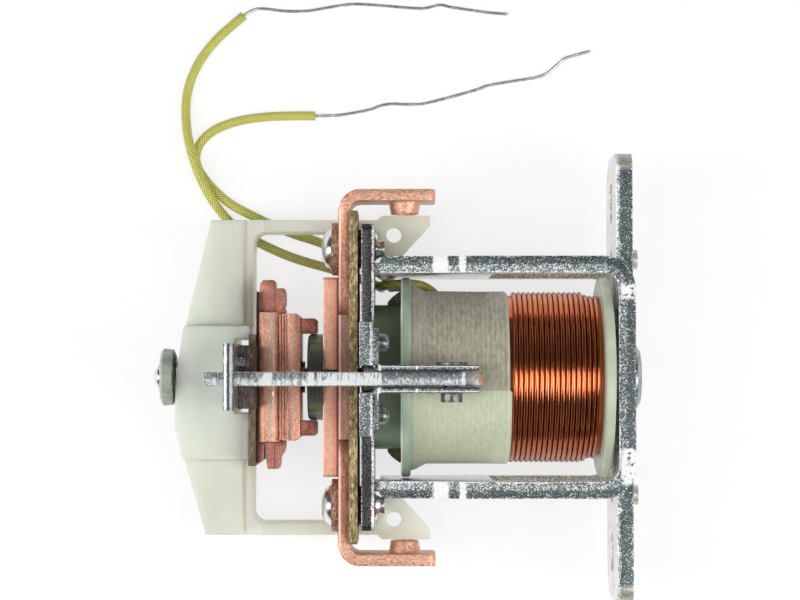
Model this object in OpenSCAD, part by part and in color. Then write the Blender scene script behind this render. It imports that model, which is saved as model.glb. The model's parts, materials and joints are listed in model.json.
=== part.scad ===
// Starter solenoid with an open coil, double break contacts and a trip lever.
// Millimetres. +X runs along the plunger to the mounting face, +Y across the ears, +Z up.
// The origin is on the plunger axis, at the outer face of the yoke's base.

/* [Yoke frame] */
// Thickness of the yoke's steel sheet
sheet = 3.4; // [2.6:0.1:4]
// Clear distance between the two arms
yoke_gap = 41.8; // [41.8:0.1:46]
// Length from the base's outer face to the ends of the arms
yoke_length = 51.3; // [51.3:0.1:58]
// Width of the sheet at the base
yoke_width = 32; // [28:0.5:38]
// Width of the arms at their free ends
arm_end_width = 29; // [26:0.5:32]
// Inner radius of the two bends
yoke_bend = 3.2; // [2:0.1:5]
// Length of the tenon at the end of each arm
tenon_length = 3.8; // [2.5:0.1:3.8]
// Width of each tenon
tenon_width = 12; // [6:0.5:16]

/* [Mounting ears] */
// Distance over the tips of the two ears
ear_span = 91.2; // [88:0.2:100]
// Width of each ear
ear_width = 21; // [16:0.5:22]
// Radius of the upper corner at each ear's tip
ear_corner = 3; // [2:0.1:5]
// Radius of the lower corner at each ear's tip
ear_lower_corner = 8; // [3:0.1:9]
// Distance between the centres of the two slots
slot_spacing = 72; // [68:0.5:76]
// Length of each slot
slot_length = 8.4; // [6:0.1:10]
// Width of each slot
slot_width = 5.6; // [4:0.1:6.5]
// Distance between the two locating bosses
boss_spacing = 48.6; // [44:0.1:54]
// Diameter of each locating boss
boss_d = 4.1; // [3:0.1:5]
// Height of each locating boss
boss_height = 1.9; // [0.8:0.1:2.4]
// Sheared gap beside each ear
shear_gap = 0.6; // [0.3:0.1:1.2]

/* [Magnet] */
// Diameter of the plunger
plunger_d = 16.2; // [12:0.2:17]
// Length of the plunger
plunger_length = 32; // [26:0.5:36]
// Air gap between the plunger and the fixed core
air_gap = 2; // [1.8:0.1:3]
// Diameter of the push rod
rod_d = 4; // [3:0.1:5]
// Diameter of the core's riveted head
core_head_d = 14.8; // [13:0.2:18]
// Height of the core's riveted head
core_head = 2.3; // [1:0.1:3]
// Mean diameter of the return spring
spring_d = 5.2; // [4.4:0.1:6]
// Wire of the return spring
spring_wire = 0.7; // [0.4:0.05:0.9]
// Number of turns of the return spring
spring_turns = 7; // [4:1:10]
// Depth of the spring pocket in the plunger and in the core
spring_pocket = 7; // [5:0.5:9]

/* [Coil] */
// Diameter of the bobbin's flanges
flange_d = 41.2; // [39:0.1:41.4]
// Thickness of each flange
flange_t = 2; // [1.2:0.1:3]
// Diameter of the bobbin's neck
neck_d = 29.8; // [26:0.2:32]
// Length of the bobbin's neck
neck_length = 5.5; // [5.1:0.1:7]
// Diameter of the inner winding
coil_d = 33.7; // [30:0.1:35]
// Diameter of the exposed wire
wire_d = 0.6; // [0.4:0.05:0.6]
// Distance from turn to turn
wire_pitch = 1.04; // [1.04:0.01:1.3]
// Number of exposed turns
wire_turns = 17; // [10:1:18]
// Gap between the tape wrap and the first exposed turn
tape_gap = 0.3; // [0.1:0.05:1]
// Thickness of the tape wrap
tape_t = 1; // [0.5:0.05:1.2]
// Drop in radius of the last turns
last_turn_drop = 0.75; // [0.4:0.05:1]

/* [Plates] */
// Thickness of the pole plate
pole_t = 2.6; // [2:0.1:3.2]
// Length of the pole plate
pole_length = 62.6; // [60:0.2:66]
// Height of the pole plate above the axis
pole_front = 8; // [6.5:0.1:10]
// Depth of the pole plate below the axis
pole_back = 20.6; // [20.6:0.1:24]
// Thickness of the insulating plate
insulator_t = 1.7; // [1.2:0.1:2.4]
// Length of the insulating plate
insulator_length = 68; // [64:0.2:68]
// Air gap between the pole plate and the insulating plate
plate_gap = 0.75; // [0.4:0.05:1.2]

/* [Terminals] */
// Thickness of the copper terminals
terminal_t = 2.3; // [1.6:0.1:3]
// Width of the copper terminals
terminal_width = 13; // [10:0.5:13]
// Distance over the two terminal tabs
terminal_span = 77; // [77:0.2:84]
// Outer radius of the terminal's bend
terminal_bend = 4.5; // [3.5:0.1:4.5]
// Length of each tab from the left face of its strip
tab_reach = 19.9; // [17:0.1:22]
// Distance of the threaded hole from the left face of the strip
tab_hole = 13.6; // [11.5:0.1:14.5]
// Diameter of the threaded hole
thread_d = 4.2; // [3.2:0.1:5]
// Height of the drawn collar
collar_height = 2.5; // [1.5:0.1:3.5]
// Distance between the terminal rivets
rivet_spacing = 53; // [52:0.1:54]
// Diameter of the terminal rivets' heads
rivet_head_d = 8.3; // [7:0.1:9]
// Diameter of the fibre washers
washer_d = 10.9; // [9:0.1:11]

/* [Contacts] */
// Thickness of the fixed contacts
fixed_t = 3.1; // [2.4:0.1:4]
// Distance over the two fixed contacts
fixed_span = 40.8; // [38:0.2:40.8]
// Gap between the two fixed contacts
fixed_gap = 2.8; // [2:0.1:4]
// Open gap between the tips and the fixed contacts
contact_gap = 1.4; // [1.4:0.05:2.2]
// Height of the contact tips
tip_height = 3.2; // [2.6:0.1:4]
// Thickness of the main leaf
leaf_t = 2.7; // [2:0.1:3.4]
// Thickness of each thin leaf
thin_leaf_t = 0.5; // [0.3:0.05:0.7]
// Thickness of the contact bar
bar_t = 4.4; // [3.4:0.1:5.2]
// Length of the contact bar
bar_length = 26.4; // [24:0.2:28]
// Width of the contact bar
bar_width = 14; // [11:0.5:15]

/* [Sliding yoke] */
// Distance over the outside of the two nylon arms
nylon_span = 66.2; // [65:0.1:67]
// Thickness of each nylon arm
nylon_t = 2.5; // [1.8:0.1:2.5]
// Depth of the nylon crossbar at the axis
crossbar = 15.35; // [13:0.05:18]
// Height of the nylon arms
arm_height = 10.5; // [7:0.5:11]
// Diameter of the hole in each nylon ear
nylon_hole_d = 3.2; // [2:0.1:4]
// Diameter of the buffer washer
buffer_d = 11.9; // [10:0.1:14]
// Thickness of the buffer washer
buffer_t = 3.1; // [2:0.1:4]

/* [Trip lever] */
// Thickness of the lever
lever_t = 2.75; // [2:0.05:2.75]
// Height of the lever
lever_height = 4.7; // [4:0.1:5]
// Length of the lever beyond the latch plate
lever_overhang = 4.15; // [2.5:0.05:6]
// Distance from the pivot to the lever's short end
lever_tail = 6.1; // [3:0.1:7]
// Diameter of the pivot pin
pin_d = 3; // [2:0.1:3.2]
// Clearance between the pin and the lever
pin_clearance = 0.06; // [0.02:0.01:0.1]
// Thickness of the clevis brackets
clevis_t = 1.15; // [0.8:0.05:1.5]
// Width of the clevis between its two brackets
clevis_gap = 3.15; // [3.15:0.05:3.6]
// Thickness of the latch plate
latch_t = 2.1; // [1.6:0.1:2.4]

/* [Leads] */
// Diameter of the braided sleeves
sleeve_d = 2; // [1.6:0.1:2]
// Diameter of the bare wires
lead_wire_d = 0.76; // [0.4:0.02:0.8]

/* [Hidden] */
$fn = 64;

// Colours as they look on the object
zinc = [0.74, 0.76, 0.76];
steel = [0.5, 0.51, 0.52];
copper = [0.78, 0.48, 0.38];
red_copper = [0.6, 0.3, 0.22];
fibre = [0.43, 0.39, 0.25];
brown_fibre = [0.32, 0.22, 0.14];
sage = [0.62, 0.68, 0.61];
enamel = [0.72, 0.36, 0.16];
tape = [0.62, 0.64, 0.56];
nylon = [0.85, 0.88, 0.82];
braid = [0.66, 0.64, 0.24];
tinned = [0.66, 0.67, 0.68];
brass = [0.8, 0.66, 0.36];

// Small clearances, which fits share
slip = 0.05;
seat_gap = 0.4;

// Yoke frame
arm_in = yoke_gap / 2;
arm_out = arm_in + sheet;
bend_out = yoke_bend + sheet;
base_half = arm_out - bend_out;
window_half = ear_width / 2 + shear_gap;
window_end = -(bend_out + (ear_span / 2 - base_half) - yoke_bend * 1.57 - 1);
taper_start = -34;
taper_end = -40;
tenon_in = arm_in + 0.5;
tenon_out = arm_out - 0.9;
core_shank_r = 6;

// Places along the axis, from the base towards the contacts
arm_end = -yoke_length;
plate_standoff = 1.2;
pole_right = arm_end - plate_standoff;
pole_left = pole_right - pole_t;
insulator_right = pole_left - plate_gap;
insulator_left = insulator_right - insulator_t;
terminal_left = insulator_left - terminal_t;
fixed_left = terminal_left - fixed_t;
tip_left = fixed_left - contact_gap - tip_height;
leaf_left = tip_left - leaf_t;
groove = 0.07;
thin_left = leaf_left - 3 * thin_leaf_t - 2 * groove;
bar_left = thin_left - bar_t;
shim_t = 0.3;
shim_left = bar_left - shim_t;
backing_t = 1.5;
backing_left = shim_left - backing_t;
block_t = 1.15;
latch_right = backing_left - block_t;
latch_left = latch_right - latch_t;
crossbar_right = backing_left;
crossbar_left = crossbar_right - crossbar;
buffer_left = crossbar_left - buffer_t;
rod_end = buffer_left - 1.3;

// Magnet
plunger_r = plunger_d / 2;
tube_in = plunger_r + 0.1;
tube_out = tube_in + 0.4;
core_r = tube_in - slip;
plunger_left = pole_left;
plunger_right = plunger_left + plunger_length;
core_face = plunger_right + air_gap;
pocket_r = spring_d / 2 + spring_wire / 2 + 0.3;
spring_start = core_face + spring_pocket - slip;
spring_end = plunger_right - spring_pocket + slip;
rod_r = rod_d / 2;
rod_bore = rod_r + slip;
rod_joint = 8;
collar_r = 3.4;
collar_t = 0.7;
collar_right = leaf_left + leaf_t + collar_t;

// Coil
flange_r = flange_d / 2;
neck_left = pole_right;
flange_left = pole_right + neck_length;
flange_left_in = flange_left + flange_t;
core_washer_t = 0.9;
core_washer_r = 14;
flange_right_out = -sheet - core_washer_t;
flange_right_in = flange_right_out - flange_t;
bobbin_bore = tube_out + slip;
bobbin_tube = bobbin_bore + 1.3;
coil_r = coil_d / 2;
rings_per_turn = 24;
turn_r = (coil_r + wire_d / 2) / cos(180 / rings_per_turn) + 0.06;
turn_end = flange_right_in - wire_d / 2 - 0.35;
turn_start = turn_end - wire_turns * wire_pitch;
dropped_turns = 3;
drop_x = turn_end - dropped_turns * wire_pitch - 0.5;
tape_r = coil_r + tape_t;
tape_flare = 1.25;
flare_length = 3.6;
insulator_cone = 2.8;
lead_slot_y = 17.6;
lead_slot_z = [-9.4, -2.2];

// Plates
arm_top = -terminal_width / 2 - 0.5;
arm_bottom = arm_top - arm_height;
nylon_out = nylon_span / 2;
nylon_in = nylon_out - nylon_t;
plate_neck = nylon_in - seat_gap;
neck_top = arm_top + 0.25;
lead_notch_y = [18.2, 27.6];
lead_notch_top = -16.4;
pole_corner = 1.4;
lug_in = 2.7;
lug_out = 11.1;

// Trip lever and its clevis
lever_y = -0.4;
clevis_bottom = pole_back + 0.4;
clevis_height = 8.6;
clevis_top = clevis_bottom + clevis_height;
clevis_reach = 21.1;
clevis_leg = 8.3;
clevis_in = clevis_gap / 2;
clevis_out = clevis_in + clevis_t;
pin_r = pin_d / 2;
pin_x = pole_right + 15.4;
pin_z = clevis_bottom + clevis_height / 2 + 0.1;
lever_bottom = pin_z - lever_height / 2 - 0.15;
lever_top = lever_bottom + lever_height;
lever_left = latch_left - lever_overhang;
lever_right = pin_x + lever_tail;
travel = 1.2;
tooth = 1.6;
notch_left = latch_left - 0.75;
notch_right = latch_right + travel + 0.6;
slot_side = lever_t / 2 + 0.25;
slot_bottom = lever_bottom + tooth - 0.3;
slot_top = lever_top + 2.6;
latch_half = 6.5;
latch_depth = 9;
block_top = slot_bottom - 4.3;
block_lip = 1.8;
latch_top = slot_top + 1.3;
hook_y = [2.2, 3.9];
hook_z = [20.2, 21.6];
rivet_y = clevis_in + clevis_t + 4.4;
clevis_rivet_r = 1.2;
clevis_head_r = 1.95;
clevis_head = 2.1;
pin_head_r = 2.15;
pin_head = 1.8;
clip_r = 3;
clip_t = 0.6;

// Terminals
terminal_half = terminal_width / 2;
tab_out = terminal_span / 2;
bend_start = tab_out - terminal_bend;
strip_in = 12.9;
tab_right = terminal_left + tab_reach;
hole_x = terminal_left + tab_hole;
tab_corner = 1.5;
rivet_pos = rivet_spacing / 2;
rivet_r = 1.85;
washer_t = 1.45;
rivet_head = 2.2;
bush_r = 2.45;
bush_flange_r = 4;
bush_end = 0.3;
tail_length = 1.8;

// Guide bush and the contacts
bush_left = leaf_left + leaf_t + travel + 0.2;
bush_head_r = 8.9;
nose_r = 4.2;
nose_hole_r = nose_r + 0.2;
bush_pocket = collar_t + 0.6;
contact_half = 6.5;
tip_in = 9;
tip_out = 12;
spacer_half = strip_in - 0.1;
backing_y = [-18.1, 8.7];
block_step = contact_half + 1.3;
shim_half = 17.5;
clip_z = [-5, 3];

// Sliding yoke outline, as corner points in the plane of the arms
pad_top = 3.5;
pad_y = [-16.9, 10.5];
bar_top = 0;
bar_right = crossbar_right - 1.9;
nylon_draft = 0.6;
notch_y = [-7.5, 7.9];
nylon_back = arm_bottom;
nylon_fillet = 2.4;
ear_right = pole_right + 11.5;
ear_out = nylon_out + 0.9;
ear_in = 25.4;
nylon_ear_t = 2.5;
nylon_hole_x = pole_right + 4;
nylon_hole_y = 29.9;

// Leads, as points along each centreline, from the tape to the far end
floor_z = -pole_back;
sleeve_z = floor_z + sleeve_d / 2;
wire_z = floor_z + lead_wire_d / 2;
long_lead = [[-38.5, 15.1, -9.9], [-39.1, 16.4, -8.4], [-40, 17.5, -7], [-41.2, 18.4, -5.7],
             [-42.7, 19.1, -4.7], [-44.6, 19.4, -4], [-46.7, 19.4, -3.8],
             [-49, 19.3, -4.4], [-50.6, 19.2, -6], [-51.2, 19.1, -8.3], [-51.2, 19, -11.7],
             [-51.2, 19.1, -15.1], [-51.8, 19.5, -17.3], [-53.4, 20.2, -19],
             [-55.7, 21.1, sleeve_z], [-61, 23, sleeve_z], [-71, 26, sleeve_z],
             [-80, 30.3, sleeve_z], [-84.8, 34.3, -19.2], [-89, 40.3, -17.2],
             [-92, 47.7, -17.2], [-93.5, 55, -18.6], [-93.3, 62, sleeve_z],
             [-91, 68, sleeve_z], [-87, 73.3, sleeve_z], [-81.2, 78.5, sleeve_z]];
long_wire = [[-81.2, 78.5, sleeve_z], [-79.2, 79.7, -19.9], [-77.2, 80.1, wire_z],
             [-72.5, 79.6, wire_z], [-69.5, 79.5, wire_z], [-66.5, 79.7, wire_z],
             [-62.5, 80.4, wire_z], [-58.5, 81, wire_z], [-54.5, 81, wire_z],
             [-44.3, 80.2, wire_z], [-41.8, 80.2, wire_z], [-40, 80.6, wire_z],
             [-38.3, 80.9, wire_z], [-36, 80.4, wire_z], [-32, 79.8, wire_z],
             [-27.7, 79.2, wire_z], [-23.7, 78.9, wire_z]];
short_lead = [[-40.2, 13.4, -12.5], [-40.8, 14.9, -11], [-41.8, 16.3, -9.6],
              [-43.1, 17.5, -8.5], [-44.4, 18.3, -7.9], [-45.9, 18.8, -7.7], [-47.4, 19, -8.2],
              [-48.6, 19, -9.4], [-49.1, 19, -11.1],
              [-49.1, 19.3, -13.2], [-49.1, 19.9, -15.1], [-49.7, 20.8, -17.3],
              [-51.3, 22.1, -19], [-53.6, 23.6, sleeve_z], [-58, 26, sleeve_z],
              [-64.4, 29, sleeve_z], [-71, 31.2, sleeve_z], [-78, 34.3, sleeve_z],
              [-84.3, 37.7, sleeve_z], [-89, 42.2, sleeve_z], [-91.4, 46.4, sleeve_z],
              [-90.8, 50.2, sleeve_z], [-87.8, 53.3, sleeve_z], [-83, 55.3, sleeve_z],
              [-77.2, 56.3, sleeve_z], [-71, 56.6, sleeve_z], [-65.6, 56.6, sleeve_z]];
short_wire = [[-65.6, 56.6, sleeve_z], [-63, 56.7, -19.9], [-60, 56.9, wire_z],
              [-54, 58, wire_z], [-51.5, 58.9, wire_z], [-49, 59.3, wire_z],
              [-46, 59.2, wire_z], [-42.5, 59.3, wire_z], [-38.5, 60.2, wire_z],
              [-30.9, 62.3, wire_z], [-27.7, 63.4, wire_z], [-21.1, 64.5, wire_z],
              [-17.5, 65.1, wire_z], [-15.3, 66, wire_z], [-13.2, 67.7, wire_z],
              [-11.4, 69.2, wire_z], [-8.8, 70, wire_z], [-5.9, 70.8, wire_z]];

// Shapes that several pieces share

module block(x, y, z) {
    translate([x[0], y[0], z[0]])
        cube([x[1] - x[0], y[1] - y[0], z[1] - z[0]]);
}

module rod_x(x0, x1, r) {
    translate([x0, 0, 0])
        rotate([0, 90, 0])
            cylinder(h = x1 - x0, r = r);
}

module rod_y(x, y0, y1, z, r0, r1) {
    translate([x, y0, z])
        rotate([-90, 0, 0])
            cylinder(h = y1 - y0, r1 = r0, r2 = r1);
}

// A profile of radius and place along the axis, turned about X
module turned(profile) {
    rotate([0, 90, 0])
        rotate_extrude()
            polygon(profile);
}

module upper_and_lower() {
    children();
    mirror([0, 1, 0])
        children();
}

// A quarter of a bent sheet, seen along Z
module quarter_ring(outer, inner) {
    intersection() {
        difference() {
            circle(outer);
            circle(inner);
        }
        square(outer + 1);
    }
}

// A rectangle with round corners, from corner to corner
module round_rect(p0, p1, r) {
    translate([p0[0] + r, p0[1]])
        square([p1[0] - p0[0] - 2 * r, p1[1] - p0[1]]);
    translate([p0[0], p0[1] + r])
        square([p1[0] - p0[0], p1[1] - p0[1] - 2 * r]);
    for (x = [p0[0] + r, p1[0] - r])
        for (y = [p0[1] + r, p1[1] - r])
            translate([x, y])
                circle(r);
}

// A flat outline drawn in X and Z, as thick as y says
module side_plate(y) {
    translate([0, y[1], 0])
        rotate([90, 0, 0])
            linear_extrude(y[1] - y[0])
                children();
}

// A flat outline drawn in Y and Z, as thick as x says
module end_plate(x) {
    translate([x[0], 0, 0])
        rotate([90, 0, 90])
            linear_extrude(x[1] - x[0])
                children();
}

// A tube swept along a list of points
function unit(v) = v / norm(v);
function tangents(p) =
    [for (i = [0:len(p) - 1]) unit(p[min(i + 1, len(p) - 1)] - p[max(i - 1, 0)])];
function carried(n, t) = unit(n - t * (n * t));
function normals(t, seed) =
    [for (i = 0, n = carried(seed, t[0]); i < len(t);
          i = i + 1, n = i < len(t) ? carried(n, t[i]) : n) n];

module swept_tube(path, r, sides, seed) {
    t = tangents(path);
    n = normals(t, seed);
    last = len(path) - 1;
    points = [for (i = [0:last])
                  for (j = [0:sides - 1])
                      path[i] + r * (cos(360 * j / sides) * n[i]
                                     + sin(360 * j / sides) * cross(t[i], n[i]))];
    walls = [for (i = [0:last - 1])
                 for (j = [0:sides - 1])
                     let (a = i * sides + j, b = i * sides + (j + 1) % sides)
                         for (f = [[a, a + sides, b], [b, a + sides, b + sides]]) f];
    caps = [for (j = [1:sides - 2])
                for (f = [[0, j, j + 1],
                          [last * sides, last * sides + j + 1, last * sides + j]]) f];
    polyhedron(points = points, faces = concat(walls, caps), convexity = 8);
}

// The points of a helix about X, whose radius may change along it
function drop_at(turn) = last_turn_drop * min(1, max(0, turn - (wire_turns - dropped_turns)));
function turn_path(turns, x0, pitch, r, dropped) =
    [for (i = [0:turns * rings_per_turn])
        let (t = i / rings_per_turn, a = 360 * t, rr = r - (dropped ? drop_at(t) : 0))
            [x0 + pitch * t, rr * sin(a), rr * cos(a)]];
function least_gap(p, d) =
    min([for (i = [0:len(p) - 1])
            for (j = [i + rings_per_turn / 2:1:min(len(p) - 1, i + 2 * rings_per_turn)])
                norm(p[i] - p[j])]) - d;

// Yoke frame

module yoke_section() {
    translate([-sheet, -base_half])
        square([sheet, 2 * base_half]);
    for (side = [-1, 1]) {
        scale([1, side])
            translate([-bend_out, base_half])
                quarter_ring(bend_out, yoke_bend);
        scale([1, side])
            polygon([[-bend_out, arm_in], [arm_end, arm_in], [arm_end, arm_out - 0.9],
                     [arm_end + 0.9, arm_out], [-bend_out, arm_out]]);
    }
}

module arm_outline() {
    base = yoke_width / 2;
    tip = arm_end_width / 2;
    polygon([[1, -base], [1, base], [taper_start, base], [taper_end, tip],
             [arm_end - 1, tip], [arm_end - 1, -tip], [taper_end, -tip], [taper_start, -base]]);
}

// The upper half of an ear, whose corner has some radius
module half_ear(r) {
    tip = ear_span / 2;
    translate([base_half - 1, 0])
        square([tip - base_half + 1 - r, ear_width / 2]);
    translate([base_half - 1, 0])
        square([tip - base_half + 1, ear_width / 2 - r]);
    translate([tip - r, ear_width / 2 - r])
        circle(r);
}

module ear() {
    end_plate([-sheet, 0])
        difference() {
            union() {
                half_ear(ear_corner);
                scale([1, -1])
                    half_ear(ear_lower_corner);
            }
            for (end = [-1, 1])
                translate([slot_spacing / 2 + end * (slot_length - slot_width) / 2, 0])
                    circle(slot_width / 2);
            translate([slot_spacing / 2, 0])
                square([slot_length - slot_width, slot_width], center = true);
        }
}

module tenon() {
    block([arm_end - plate_standoff - pole_t, arm_end + 1],
          [tenon_in, tenon_out], [-tenon_width / 2, tenon_width / 2]);
}

module yoke_frame() {
    color(zinc)
        difference() {
            union() {
                difference() {
                    intersection() {
                        translate([0, 0, -yoke_width / 2])
                            linear_extrude(yoke_width)
                                yoke_section();
                        side_plate([-arm_out - 1, arm_out + 1])
                            arm_outline();
                    }
                    upper_and_lower()
                        block([window_end, 1], [base_half, arm_out + 1],
                              [-window_half, window_half]);
                }
                upper_and_lower() {
                    ear();
                    tenon();
                    translate([0, boss_spacing / 2, 0])
                        rod_x(-1, boss_height, boss_d / 2);
                }
            }
            rod_x(-sheet - 1, 1, core_shank_r);
            upper_and_lower()
                translate([0, boss_spacing / 2, 0])
                    rod_x(-sheet - 1, boss_height - sheet / 2, boss_d / 2 - 0.4);
        }
}

// Magnet

module fixed_core() {
    head_r = core_head_d / 2;
    color(steel)
        turned([[0, core_face + spring_pocket], [pocket_r, core_face + spring_pocket],
                [pocket_r, core_face], [core_r - 0.4, core_face], [core_r, core_face + 0.4],
                [core_r, -sheet], [core_shank_r, -sheet], [core_shank_r, 0], [head_r, 0],
                [head_r - 0.4, core_head * 0.6], [head_r * 0.75, core_head], [0, core_head]]);
}

module core_washer() {
    color(steel)
        difference() {
            rod_x(-sheet - core_washer_t, -sheet, core_washer_r);
            rod_x(-sheet - core_washer_t - 1, -sheet + 1, tube_out + 0.2);
        }
}

module guide_tube() {
    color(brass)
        difference() {
            rod_x(pole_right, -sheet, tube_out);
            rod_x(pole_right - 1, -sheet + 1, tube_in);
        }
}

module plunger() {
    color(steel)
        difference() {
            turned([[0, plunger_left], [plunger_r - 0.5, plunger_left],
                    [plunger_r, plunger_left + 0.5], [plunger_r, plunger_right - 0.8],
                    [plunger_r - 0.8, plunger_right], [0, plunger_right]]);
            rod_x(plunger_right - spring_pocket, plunger_right + 1, pocket_r);
            rod_x(plunger_left - 1, plunger_left + rod_joint, rod_r);
        }
}

module push_rod() {
    color(zinc)
        turned([[0, plunger_left + rod_joint], [rod_r, plunger_left + rod_joint],
                [rod_r, collar_right], [collar_r, collar_right],
                [collar_r, collar_right - collar_t], [rod_r, collar_right - collar_t],
                [rod_r, buffer_left], [2.7, buffer_left], [2.5, buffer_left - 0.7],
                [1.5, rod_end], [0, rod_end]]);
}

module return_spring() {
    length = spring_start - spring_end - spring_wire;
    color(steel)
        swept_tube([for (i = [0:8 * spring_turns])
                        let (t = i / 8)
                            [spring_end + spring_wire / 2 + length * t / spring_turns,
                             spring_d / 2 * sin(360 * t), spring_d / 2 * cos(360 * t)]],
                   spring_wire / 2, 6, [1, 0, 0]);
}

// Coil

module bobbin() {
    color(sage)
        difference() {
            turned([[bobbin_bore, neck_left], [neck_d / 2, neck_left],
                    [neck_d / 2, flange_left], [flange_r - 0.4, flange_left],
                    [flange_r, flange_left + 0.4], [flange_r, flange_left_in - 0.4],
                    [flange_r - 0.4, flange_left_in], [bobbin_tube, flange_left_in],
                    [bobbin_tube, flange_right_in], [flange_r - 0.4, flange_right_in],
                    [flange_r, flange_right_in + 0.4], [flange_r, flange_right_out - 0.4],
                    [flange_r - 0.4, flange_right_out], [bobbin_bore, flange_right_out]]);
            block([flange_left - 0.1, flange_left_in + 0.1], [lead_slot_y, flange_r + 1],
                  lead_slot_z);
        }
}

module flange_insulator() {
    color(brown_fibre)
        intersection() {
            turned([[neck_d / 2 + 0.02, flange_left - insulator_cone],
                    [neck_d / 2 + 0.6, flange_left - insulator_cone],
                    [neck_d / 2 + 1.6, flange_left - insulator_cone * 0.7],
                    [lead_slot_y + 0.1, flange_left - 0.4], [lead_slot_y + 0.1, flange_left],
                    [neck_d / 2 + 0.02, flange_left]]);
            block([flange_left - insulator_cone, flange_left], [-flange_r, flange_r],
                  [-flange_r, -0.5]);
        }
}

module inner_winding() {
    color(enamel)
        turned([[bobbin_tube, flange_left_in], [coil_r, flange_left_in], [coil_r, drop_x],
                [coil_r - last_turn_drop, drop_x + 0.4],
                [coil_r - last_turn_drop, flange_right_in], [bobbin_tube, flange_right_in]]);
}

module outer_turns() {
    path = turn_path(wire_turns, turn_start, wire_pitch, turn_r, true);
    echo(outer_turns_least_gap = least_gap(path, wire_d));
    color(enamel)
        swept_tube(path, wire_d / 2, 6, [1, 0, 0]);
}

module tape_wrap() {
    tape_right = turn_start - wire_d / 2 - tape_gap;
    color(tape)
        turned([[coil_r, flange_left_in], [tape_r + tape_flare, flange_left_in],
                [tape_r + tape_flare * 0.86, flange_left_in + flare_length * 0.25],
                [tape_r + tape_flare * 0.3, flange_left_in + flare_length * 0.65],
                [tape_r, flange_left_in + flare_length], [tape_r, tape_right],
                [coil_r, tape_right]]);
}

// Plates

module plate_outline(half, front, back, corner) {
    difference() {
        union() {
            translate([-half, neck_top])
                square([2 * half, front - neck_top - corner]);
            translate([-half + corner, 0])
                square([2 * (half - corner), front]);
            for (side = [-1, 1])
                translate([side * (half - corner), front - corner])
                    circle(corner);
            translate([-plate_neck, -back])
                square([2 * plate_neck, back + 1]);
        }
        translate([lead_notch_y[0], -back - 1])
            square([lead_notch_y[1] - lead_notch_y[0], lead_notch_top + back + 1]);
        for (side = [-1, 1])
            translate([side * rivet_pos, 0])
                children();
    }
}

module pole_plate() {
    color(steel)
        end_plate([pole_left, pole_right])
            difference() {
                union() {
                    plate_outline(pole_length / 2, pole_front, pole_back, pole_corner)
                        circle(bush_r);
                    for (side = [-1, 1])
                        translate([side * (lug_in + lug_out) / 2 + lever_y,
                                   (pole_front + clevis_top) / 2 - 1])
                            square([lug_out - lug_in, clevis_top - pole_front + 2],
                                   center = true);
                }
                circle(plunger_r + 0.4);
                for (side = [-1, 1]) {
                    translate([side * rivet_y + lever_y, pin_z])
                        circle(clevis_rivet_r);
                    translate([side * (tenon_in + tenon_out) / 2, 0])
                        square([tenon_out - tenon_in, tenon_width], center = true);
                }
            }
}

module insulating_plate() {
    color(fibre)
        end_plate([insulator_left, insulator_right])
            difference() {
                plate_outline(insulator_length / 2, pole_front + 1, pole_back - 1, pole_corner)
                    circle(rivet_r);
                circle(nose_hole_r);
            }
}

module rivet_bushes() {
    color(brown_fibre)
        upper_and_lower()
            translate([0, rivet_pos, 0])
                turned([[rivet_r, insulator_right], [bush_flange_r, insulator_right],
                        [bush_flange_r, pole_left], [bush_r, pole_left],
                        [bush_r, pole_right + bush_end], [rivet_r, pole_right + bush_end]]);
}

// Terminals

module terminal_rivets() {
    seat = terminal_left - washer_t;
    tail = pole_right + bush_end;
    head_r = rivet_head_d / 2;
    color(zinc)
        upper_and_lower()
            translate([0, rivet_pos, 0])
                turned([[0, seat - rivet_head], [head_r * 0.5, seat - rivet_head * 0.92],
                        [head_r * 0.85, seat - rivet_head * 0.6], [head_r, seat - 0.3],
                        [head_r, seat], [rivet_r, seat], [rivet_r, tail], [2.3, tail],
                        [1.75, tail + tail_length * 0.5], [1.9, tail + tail_length],
                        [0, tail + tail_length]]);
}

module rivet_washers() {
    color(brown_fibre)
        upper_and_lower()
            translate([0, rivet_pos, 0])
                difference() {
                    rod_x(terminal_left - washer_t, terminal_left, washer_d / 2);
                    rod_x(terminal_left - washer_t - 1, terminal_left + 1, rivet_r);
                }
}

module terminal_profile() {
    translate([terminal_left, strip_in])
        square([terminal_t, bend_start - strip_in]);
    translate([terminal_left + terminal_bend, bend_start])
        scale([-1, 1])
            quarter_ring(terminal_bend, terminal_bend - terminal_t);
    translate([terminal_left + terminal_bend, tab_out - terminal_t])
        square([tab_right - terminal_left - terminal_bend, terminal_t]);
}

module terminal() {
    collar_end = tab_out - terminal_t - collar_height;
    difference() {
        union() {
            intersection() {
                translate([0, 0, -terminal_half])
                    linear_extrude(terminal_width)
                        terminal_profile();
                side_plate([0, tab_out + 1])
                    round_rect([terminal_left - 3, -terminal_half],
                               [tab_right, terminal_half], tab_corner);
            }
            rod_y(hole_x, collar_end, tab_out - terminal_t / 2, 0,
                  thread_d / 2 + 0.75, thread_d / 2 + 1.45);
        }
        rod_y(hole_x, collar_end - 1, tab_out + 1, 0, thread_d / 2, thread_d / 2);
        translate([0, rivet_pos, 0])
            rod_x(terminal_left - 1, insulator_left + 1, rivet_r);
    }
}

module upper_terminal() {
    color(copper)
        terminal();
}

module lower_terminal() {
    color(copper)
        mirror([0, 1, 0])
            terminal();
}

module contact_spacer() {
    color(brown_fibre)
        difference() {
            block([terminal_left, insulator_left], [-spacer_half, spacer_half],
                  [-terminal_half, terminal_half]);
            rod_x(terminal_left - 1, insulator_left + 1, nose_hole_r);
        }
}

module fixed_contact() {
    difference() {
        end_plate([fixed_left, terminal_left])
            round_rect([fixed_gap / 2, -contact_half], [fixed_span / 2, contact_half], 0.6);
        rod_x(fixed_left - 1, terminal_left + 1, nose_hole_r);
    }
}

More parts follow.
